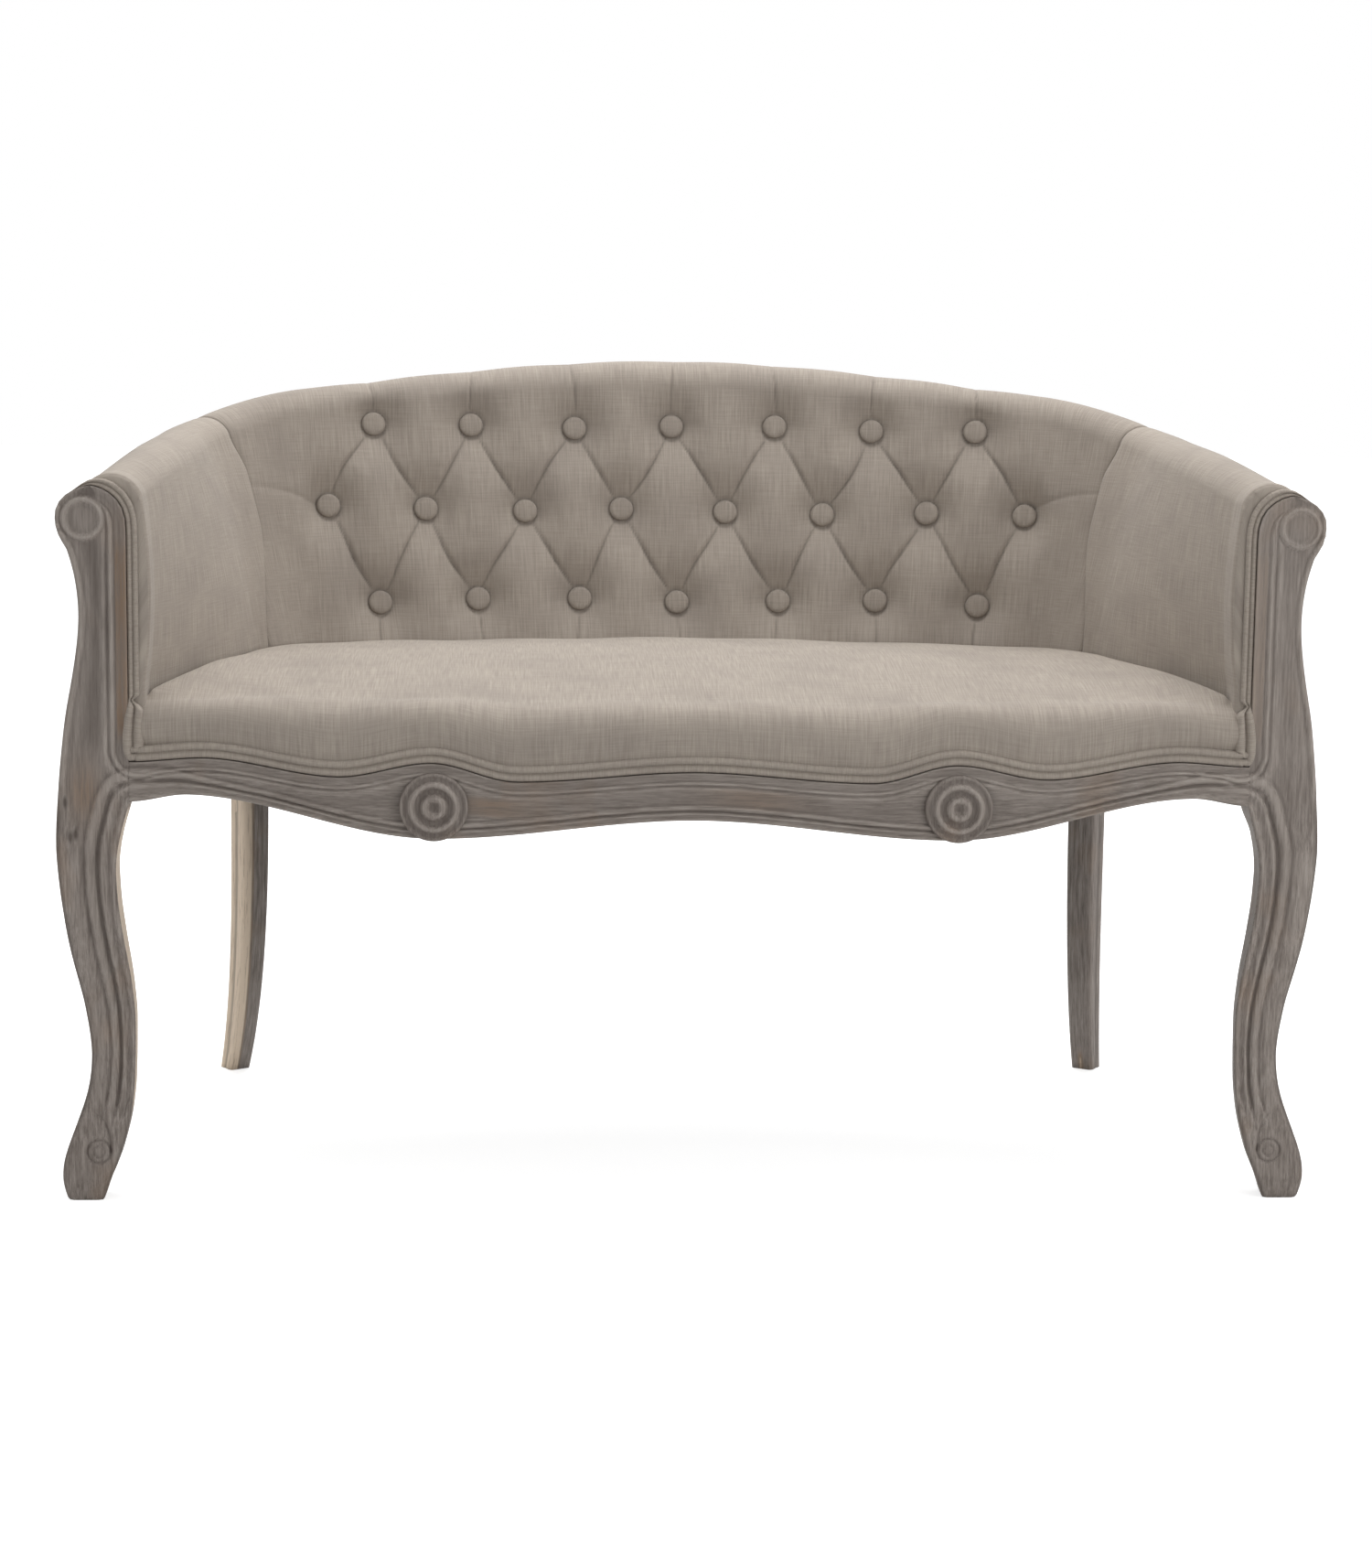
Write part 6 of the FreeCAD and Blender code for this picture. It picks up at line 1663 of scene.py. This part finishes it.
@dataclass
class Apron:
    """Serpentine front rail with its carved mouldings."""

    finish: bpy.types.Material
    faces: tuple[int, int] = (620, 78)
    front_share: float = 0.68
    upper_stretch: float = 1.5
    back_knots: tuple[float, ...] = (0, 0.16, 0.3, 0.46, 0.7, 1.0)
    # Places, widths and shares of the tan patches
    patches: tuple[tuple[float, float, float], ...] = ((-200, 30, 1.0), (60, 45, 0.7))

    def shape(self, u: Array, v: Array) -> Values:
        """Surface of the rail.

        Args:
            u: from left to right.
            v: round the rail, from its lower front edge up the front.

        Returns:
            Coordinates and pattern values.
        """
        x = (2 * u - 1) * SIZE.joint_x
        side = np.abs(x)
        bottom, top = level_curve(APRON_LOW, x), level_curve(APRON_TOP, x)
        height = top - bottom
        z = toward(bottom, top, part(v, 0, self.front_share))
        low, high = distance_to(LOWER_EDGE, side, z), distance_to(UPPER_EDGE, side, z)
        stretch = toward(1, self.upper_stretch, smooth(side, 548, 520))
        carved = MOULDINGS.depth(low * MOULDINGS.spread(x), high * stretch,
                                 np.full(x.shape, FAR), np.zeros(x.shape))
        middle = np.abs(z - bottom - height * 0.46)
        carved += 0.9 * np.clip(1 - (middle / (height * 0.3)) ** 2, 0, 1) * smooth(side, 554, 500)
        front = rail_front(x)
        # Over the top, down the ledge under the seat, down the back and under the rail
        w = (v - self.front_share) / (1 - self.front_share)
        hidden = v > self.front_share
        back, ledge = SIZE.leg_front_y + 24, SIZE.rail_top - 16
        depths = (front + 1.6, front + 9.7, front + 9.7, back, back, front + 3.4)
        levels = (top, top, ledge, ledge, bottom, bottom)
        y = np.where(hidden, through(w, self.back_knots, depths), front + carved)
        z = np.where(hidden, through(w, self.back_knots, levels), z)
        tan = sum(share * ridge(x - place, width) for place, width, share in self.patches)
        return {"x": x, "y": y, "z": z, "relief": np.where(hidden, 0.85, MOULDINGS.shade(carved)),
                "stain": 0.75 * TAN * tan * smooth(np.abs(z - bottom - height * 0.5), 12, 5)}

    def build(self) -> bpy.types.Object:
        """Make the rail."""
        piece = piece_of(surface(*self.faces, self.shape), "carved_apron", self.finish)
        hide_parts("front_rail")
        return piece


@dataclass
class Rosette:
    """Turned rosette with its rings, planted on the apron."""

    finish: bpy.types.Material
    side: Side
    # Outline as (radius, height over the apron)
    rings: Line = (
        (0, 3.2), (2.2, 3.4), (4.4, 4.6), (6.0, 6.6), (8.2, 8.0), (10.2, 8.2), (11.8, 7.2),
        (13.4, 4.6), (15.0, 3.6), (17.4, 3.6), (18.8, 5.0), (20.2, 7.6), (22.0, 8.8),
        (23.8, 8.2), (25.2, 5.6), (26.6, 4.0), (28.8, 3.8), (30.4, 4.8), (31.6, 5.6),
        (33.0, 4.8), (33.8, 3.0), (33.8, 0.0), (0, 0))
    offset: Pair = (2.5, -1.0)
    steps: int = 72

    def build(self) -> bpy.types.Object:
        """Turn the rosette about its axis."""
        name = "rosette_" + self.side.word
        _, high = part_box(name)
        centre = Vector(((self.side.value * SIZE.rosette_x + self.offset[0]) * MM, high.y,
                         (SIZE.rosette_z + self.offset[1]) * MM))
        bm = bmesh.new()
        relief = bm.verts.layers.float.new(RELIEF)
        bm.verts.layers.float_vector.new(PATTERN)
        points = [bm.verts.new(centre + Vector((r * MM, -d * MM, 0))) for r, d in self.rings]
        edges = [bm.edges.new(pair) for pair in zip(points, points[1:])]
        bmesh.ops.spin(bm, geom=points + edges, cent=centre, axis=(0, 1, 0), angle=math.tau,
                       steps=self.steps, use_merge=True)
        bmesh.ops.remove_doubles(bm, verts=bm.verts, dist=2e-6)
        bmesh.ops.recalc_face_normals(bm, faces=bm.faces)
        for vert in bm.verts:
            vert[relief] = min(1.0, max(0.0, (centre.y - vert.co.y) / MM / 6.5 - 0.35))
        piece = piece_of(bm, "turned_rosette_" + self.side.word, self.finish)
        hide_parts(name)
        return piece


# Welts, outside covers and the dust cover

@dataclass
class Welts:
    """Double welts along the seat's front and up the posts, and the cord round the base."""

    finish: bpy.types.Material
    depth: float = 6.0
    valley: float = 2.6
    post_y: float = -274.0
    post_scale: float = 0.68
    base_radius: float = 3.0
    base_out: float = 3.8
    base_z: float = 443.3

    def double(self) -> Array:
        """Profile of two cords side by side on a flat back, as (along, out) points."""
        turn = np.linspace(0, math.pi, 13)
        points = []
        for number in (0, 1):
            along = SIZE.welt_cord * (2 * number + 1) - SIZE.welt_cord * 0.97 * np.cos(turn)
            out = self.depth * np.sin(turn) ** 0.8
            inner = (turn > QUARTER) if number == 0 else (turn < QUARTER)
            out = np.where(inner, np.maximum(out, self.valley), out)
            points += list(zip(along, out))
        return np.array(points)

    def seat_front(self) -> bpy.types.Object:
        """Double welt on the serpentine top of the apron."""
        last = SIZE.joint_x - 7
        xs = np.linspace(-last, last, 420)
        path = np.stack([xs, rail_front(xs) + 7, level_curve(APRON_TOP, xs) + 0.3], axis=1)
        sides = np.tile(np.array([[0, 0, 1.0], [0, -1.0, 0]]), (len(xs), 1, 1))
        bm = swept(path, sides, self.double())
        piece = piece_of(bm, "seat_double_welt", self.finish)
        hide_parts("seat_front_welt")
        return piece

    def post(self, side: Side) -> bpy.types.Object:
        """Double welt up a post's inner edge and over its shoulder.

        Args:
            side: the post's side.

        Returns:
            The piece.
        """
        # Line in the plane of the post, as (x, height)
        foot = float(level_curve(APRON_TOP, np.array(540.0))) + 0.3
        line = [(535.0, foot), (547.0, foot), (554.0, foot - 0.6), (558.0, foot + 3.5),
                (560.4, foot + 12), (560.4, foot + 26), (558.4, foot + 42), (555.0, 499),
                (554.0, 504), (554.0, 514), *SHOULDER, (595.0, 710.2), (602.0, 706.6),
                (607.0, 702.5)]
        flat = resampled(line, 260, 3)
        run = np.gradient(flat, axis=0)
        run /= np.linalg.norm(run, axis=1)[:, None]
        normal = np.stack([-run[:, 1], np.zeros(len(run)), run[:, 0]], axis=1)
        x, z = flat.T
        path = np.stack([x, np.full(len(x), self.post_y), z], axis=1) + normal * 0.3
        # The seat's own welt turns up the post as far as the arm's, thicker and bowed out
        wide = smooth(z, 506, 496)
        pinch = 1 - 0.55 * ridge(z - 503.5, 2.6)
        end = smooth(x, 570, 603) * (z > 600)
        turned = wide * smooth(z, foot + 2, foot + 16)
        reach = toward(1, (x - 539.0) / (4 * SIZE.welt_cord), turned)
        scale = toward(self.post_scale, reach, wide) * pinch * (1 - 0.85 * end)
        thick = (0.72 + 0.34 * wide + 0.4 * turned) * (1 - 0.4 * end) * pinch ** 0.5
        out = np.tile(np.array([0, -1.0, 0]), (len(z), 1)) * thick[:, None]
        sides = np.stack([normal * scale[:, None], out], axis=1)
        bm = mirrored(swept(path, sides, self.double()), side)
        piece = piece_of(bm, "post_double_welt_" + side.word, self.finish)
        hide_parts("arm_welt_" + side.word)
        return piece

    def base(self) -> bpy.types.Object:
        """Single cord where the outside covers meet the base rails."""
        s = np.linspace(-WALL.total + 1, WALL.total - 1, 500)
        x, y, z = WALL.place(s, -self.base_out, self.base_z)
        _, _, nx, ny = WALL.at(s)
        turn = np.linspace(0, math.tau, 15)[:-1]
        profile = self.base_radius * np.stack([np.cos(turn), np.sin(turn)], axis=1)
        sides = np.stack([np.stack([nx, ny, 0 * nx], axis=1),
                          np.tile(np.array([0, 0, 1.0]), (len(s), 1))], axis=1)
        bm = swept(np.stack([x, y, z], axis=1), sides, profile)
        piece = piece_of(bm, "base_cord_welt", self.finish)
        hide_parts("base_welt")
        return piece


@dataclass
class OutsideCovers:
    """Linen stretched flat over the outside of the back and the arms, and the dust cover."""

    finish: bpy.types.Material
    dust: bpy.types.Material
    thickness: float = 2.5
    fullness: float = 1.2

    @staticmethod
    def both_faces(v: Array) -> tuple[Array, Array]:
        """Way across a sheet and back: the share across it, and the share to its back."""
        knots = (0, 0.48, 0.5, 0.98, 1)
        return np.interp(v, knots, (0, 1, 1, 0, 0)), np.interp(v, knots, (0, 0, 1, 1, 0))

    def panel(self, name: str, first: float, last: float, node_name: str,
              side: Side) -> bpy.types.Object:
        """One stretched panel between two distances along the wall.

        Args:
            name: the piece's name.
            first: where it starts.
            last: where it ends.
            node_name: the CAD node it stands for.
            side: right, or left for its mirror image.

        Returns:
            The piece.
        """
        foot = SIZE.rail_top + 0.3

        def shape(u: Array, v: Array) -> Values:
            """Points of the panel.

            Args:
                u: along the wall.
                v: up the outer face and down the inner one.

            Returns:
                Coordinates and pattern values.
            """
            s = toward(first, last, u)
            hip = WALL.hip(s) - 0.3
            t, behind = self.both_faces(v)
            z = toward(foot, hip, t)
            full = self.fullness * np.sin(t * math.pi) * np.sin(u * math.pi) ** 0.5
            inside = -WALL.value(Profile.LEAN, s) * t - full + self.thickness * behind
            x, y, z = WALL.place(s, inside, z)
            return {"x": x, "y": y, "z": z, "across": s, "along": z}

        bm = mirrored(surface(150, 100, shape), side)
        piece = piece_of(bm, name, self.finish)
        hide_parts(node_name)
        height = float(WALL.hip(np.array(0.0 if first < 0 else first))) - foot
        return piece

    def dust_cover(self) -> bpy.types.Object:
        """Black cloth tacked under the seat frame, sagging a little."""
        low, high = (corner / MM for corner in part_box("dust_cover"))
        level, front = (low.z + high.z) / 2, low.y + 2
        along = np.linspace(0, WALL.total - 20, 600)
        inset = np.where(np.abs(along - WALL.rear) < 25, 37.0, 14.0)
        edge_x, edge_y, _ = WALL.place(along, inset, 0.0)
        edge_x = np.maximum.accumulate(edge_x)

        def shape(u: Array, v: Array) -> Values:
            """Points of the cloth.

            Args:
                u: from left to right.
                v: to the back over the upper face, and forward under it.

            Returns:
                Coordinates.
            """
            t, below = self.both_faces(v)
            x = (2 * u - 1) * (SIZE.joint_x - 4)
            y = toward(front, np.interp(np.abs(x), edge_x, edge_y), t)
            sag = 3 * np.sin(t * math.pi) * np.clip(1 - np.abs(x) / 560, 0, 1) ** 0.5
            lift = np.maximum(level_curve(APRON_LOW, x) + 3 - level, 0) * smooth(t, 0.3, 0.0)
            return {"x": x, "y": y, "z": level + lift - sag + 0.4 - 0.8 * below}

        piece = piece_of(surface(120, 50, shape), "dust_cloth_under_seat", self.dust)
        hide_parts("dust_cover")
        return piece


# Studio

@dataclass
class Studio:
    """Plain white floor and background, soft lamps and the camera.

    The camera's place is in metres, its angles in degrees and its sensor's height in mm;
    its focal length and its frame's height are in pixels of the photograph. Each lamp has
    its place and width in metres and its power in watts.
    """

    position: tuple[float, float, float] = (-0.178, -3.479, 0.906)
    yaw: float = 3.045
    pitch: float = -8.57
    roll: float = 0.71
    sensor: float = 36
    focal_px: float = 3589
    frame_px: float = 1714
    aim: tuple[float, float, float] = (0, 0, 0.5)
    lamps: tuple[tuple[str, tuple[float, float, float], float, float], ...] = (
        ("overhead", (0.0, 0.7, 2.9), 2.6, 80),
        ("right_fill", (2.7, -2.4, 1.9), 2.6, 45),
        ("left_fill", (-2.7, -2.2, 1.7), 2.2, 9))
    floor_half: float = 15
    paper: str = "#d2d2d2"
    floor_glow: float = 0.742
    fading_out: Pair = (0.8, 1.9)
    sky: float = 0.46

    def camera(self) -> None:
        """Camera at the photograph's place."""
        data = bpy.data.cameras.new("camera")
        data.sensor_fit, data.sensor_height = "VERTICAL", self.sensor
        data.lens = self.focal_px / self.frame_px * self.sensor
        data.clip_end = 100
        yaw, pitch, roll = (math.radians(a) for a in (self.yaw, self.pitch, self.roll))
        forward = Vector((math.sin(yaw) * math.cos(pitch), math.cos(yaw) * math.cos(pitch),
                          math.sin(pitch)))
        right = Vector((math.cos(yaw), -math.sin(yaw), 0))
        up = right.cross(forward)
        across = math.cos(roll) * right + math.sin(roll) * up
        above = -math.sin(roll) * right + math.cos(roll) * up
        camera = bpy.data.objects.new("camera", data)
        turn = Matrix((across, above, -forward)).transposed().to_4x4()
        camera.matrix_world = Matrix.Translation(self.position) @ turn
        bpy.context.scene.collection.objects.link(camera)
        bpy.context.scene.camera = camera

    def lamp(self, name: str, place: tuple[float, float, float], size: float,
             watts: float) -> None:
        """Soft square lamp aimed at the seat.

        Args:
            name: the lamp's name.
            place: where it hangs, in metres.
            size: its width in metres.
            watts: its power.
        """
        data = bpy.data.lights.new(name, "AREA")
        data.shape, data.size, data.energy = "SQUARE", size, watts
        lamp = bpy.data.objects.new(name, data)
        aim = Vector(self.aim) - Vector(place)
        lamp.matrix_world = (Matrix.Translation(place)
                             @ aim.to_track_quat("-Z", "Y").to_matrix().to_4x4())
        bpy.context.scene.collection.objects.link(lamp)

    def floor(self) -> None:
        """White paper under the sofa."""
        bm = bmesh.new()
        bmesh.ops.create_grid(bm, x_segments=1, y_segments=1, size=self.floor_half)
        mesh = bpy.data.meshes.new("studio_floor")
        bm.to_mesh(mesh)
        bm.free()
        floor = bpy.data.objects.new("studio_floor", mesh)
        bpy.context.scene.collection.objects.link(floor)
        paper = bpy.data.materials.new("matt_white_paper")
        paper.use_nodes = True
        tree = paper.node_tree
        tree.nodes.remove(tree.nodes["Principled BSDF"])
        matt = node(tree, "ShaderNodeBsdfDiffuse", {"Color": linear(self.paper)})
        ray = node(tree, "ShaderNodeLightPath").outputs
        seen = reckoned(tree, "MAXIMUM", ray["Is Camera Ray"], ray["Is Glossy Ray"])
        # Away from the sofa the paper turns into the background, so that no edge shows
        spot = node(tree, "ShaderNodeTexCoord").outputs["Object"]
        reach = node(tree, "ShaderNodeVectorMath", {"operation": "LENGTH"}, {0: spot})
        lit = graded(tree, reach.outputs["Value"], *self.fading_out, self.floor_glow, 1.0)
        glow = node(tree, "ShaderNodeEmission", {"Color": (1, 1, 1, 1)},
                    {"Strength": reckoned(tree, "MULTIPLY", seen, lit)})
        mix = node(tree, "ShaderNodeAddShader", {}, {0: matt.outputs[0], 1: glow.outputs[0]})
        tree.links.new(mix.outputs[0], tree.nodes["Material Output"].inputs["Surface"])
        mesh.materials.append(paper)

    def background(self) -> None:
        """White behind the sofa, dimmer for its own light."""
        world = bpy.data.worlds.new("white_studio")
        bpy.context.scene.world = world
        world.use_nodes = True
        tree = world.node_tree
        tree.nodes.clear()
        ray = node(tree, "ShaderNodeLightPath").outputs
        seen = reckoned(tree, "MAXIMUM", ray["Is Camera Ray"], ray["Is Transmission Ray"])
        dim, white = (node(tree, "ShaderNodeBackground", {"Color": (1, 1, 1, 1), "Strength": s})
                      for s in (self.sky, 1.0))
        mix = node(tree, "ShaderNodeMixShader", {},
                   {0: seen, 1: dim.outputs[0], 2: white.outputs[0]})
        node(tree, "ShaderNodeOutputWorld", {}, {"Surface": mix.outputs[0]})

    def build(self) -> None:
        """Make the floor, background, lamps and camera."""
        self.floor()
        self.background()
        for name, place, size, watts in self.lamps:
            self.lamp(name, place, size, watts)
        self.camera()
        bpy.context.scene.view_settings.view_transform = "Standard"


# Frame pieces that keep their CAD shape

def dress_frame(finishes: Finishes) -> None:
    """Give the CAD nodes that no piece stands for their finish.

    Args:
        finishes: the sofa's materials.
    """
    both = ("_left", "_right")
    plain = {finishes.across: ("back_rail",),
             finishes.deep: tuple("side_rail" + side for side in both),
             finishes.beech: ("seat_brace", "front_corner_blocks", "rear_corner_blocks",
                              "back_top_rail", "back_uprights", "back_tuck_rails", "rail_dowels",
                              *("arm_tuck_rail" + side for side in both),
                              *("arm_top_rail" + side for side in both)),
             finishes.steel: ("block_screws",),
             finishes.jute: ("seat_webbing_long", "seat_webbing_cross", "back_webbing")}
    for finish, names in plain.items():
        for name in names:
            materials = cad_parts[name].data.materials
            materials.clear()
            materials.append(finish)
    log.info("frame: %d nodes dressed", sum(len(names) for names in plain.values()))


def main() -> None:
    """Build the sofa's pieces in order."""
    logging.basicConfig(level=logging.INFO, format="%(message)s")
    finishes = Finishes()
    Studio().build()
    dress_frame(finishes)
    back = TuftedBack(finishes.linen)
    back.build()
    back.build_buttons()
    SeatPad(finishes.linen).build()
    welts = Welts(finishes.welt)
    welts.seat_front()
    welts.base()
    outside = OutsideCovers(finishes.linen, finishes.felt)
    for side in Side:
        ArmPad(finishes.linen, side).build()
        FrontLeg(finishes.leg, side).build()
        RearLeg(finishes.rear, side).build()
        Rosette(finishes.leg, side).build()
        welts.post(side)
        outside.panel("outside_arm_" + side.word, WALL.rear + JOIN_GAP, WALL.total - JOIN_GAP,
                      "outside_arm_cover_" + side.word, side)
    outside.panel("outside_back", JOIN_GAP - WALL.rear, WALL.rear - JOIN_GAP,
                  "outside_back_cover", Side.RIGHT)
    outside.dust_cover()
    Apron(finishes.apron).build()


if __name__ == "__main__":
    main()
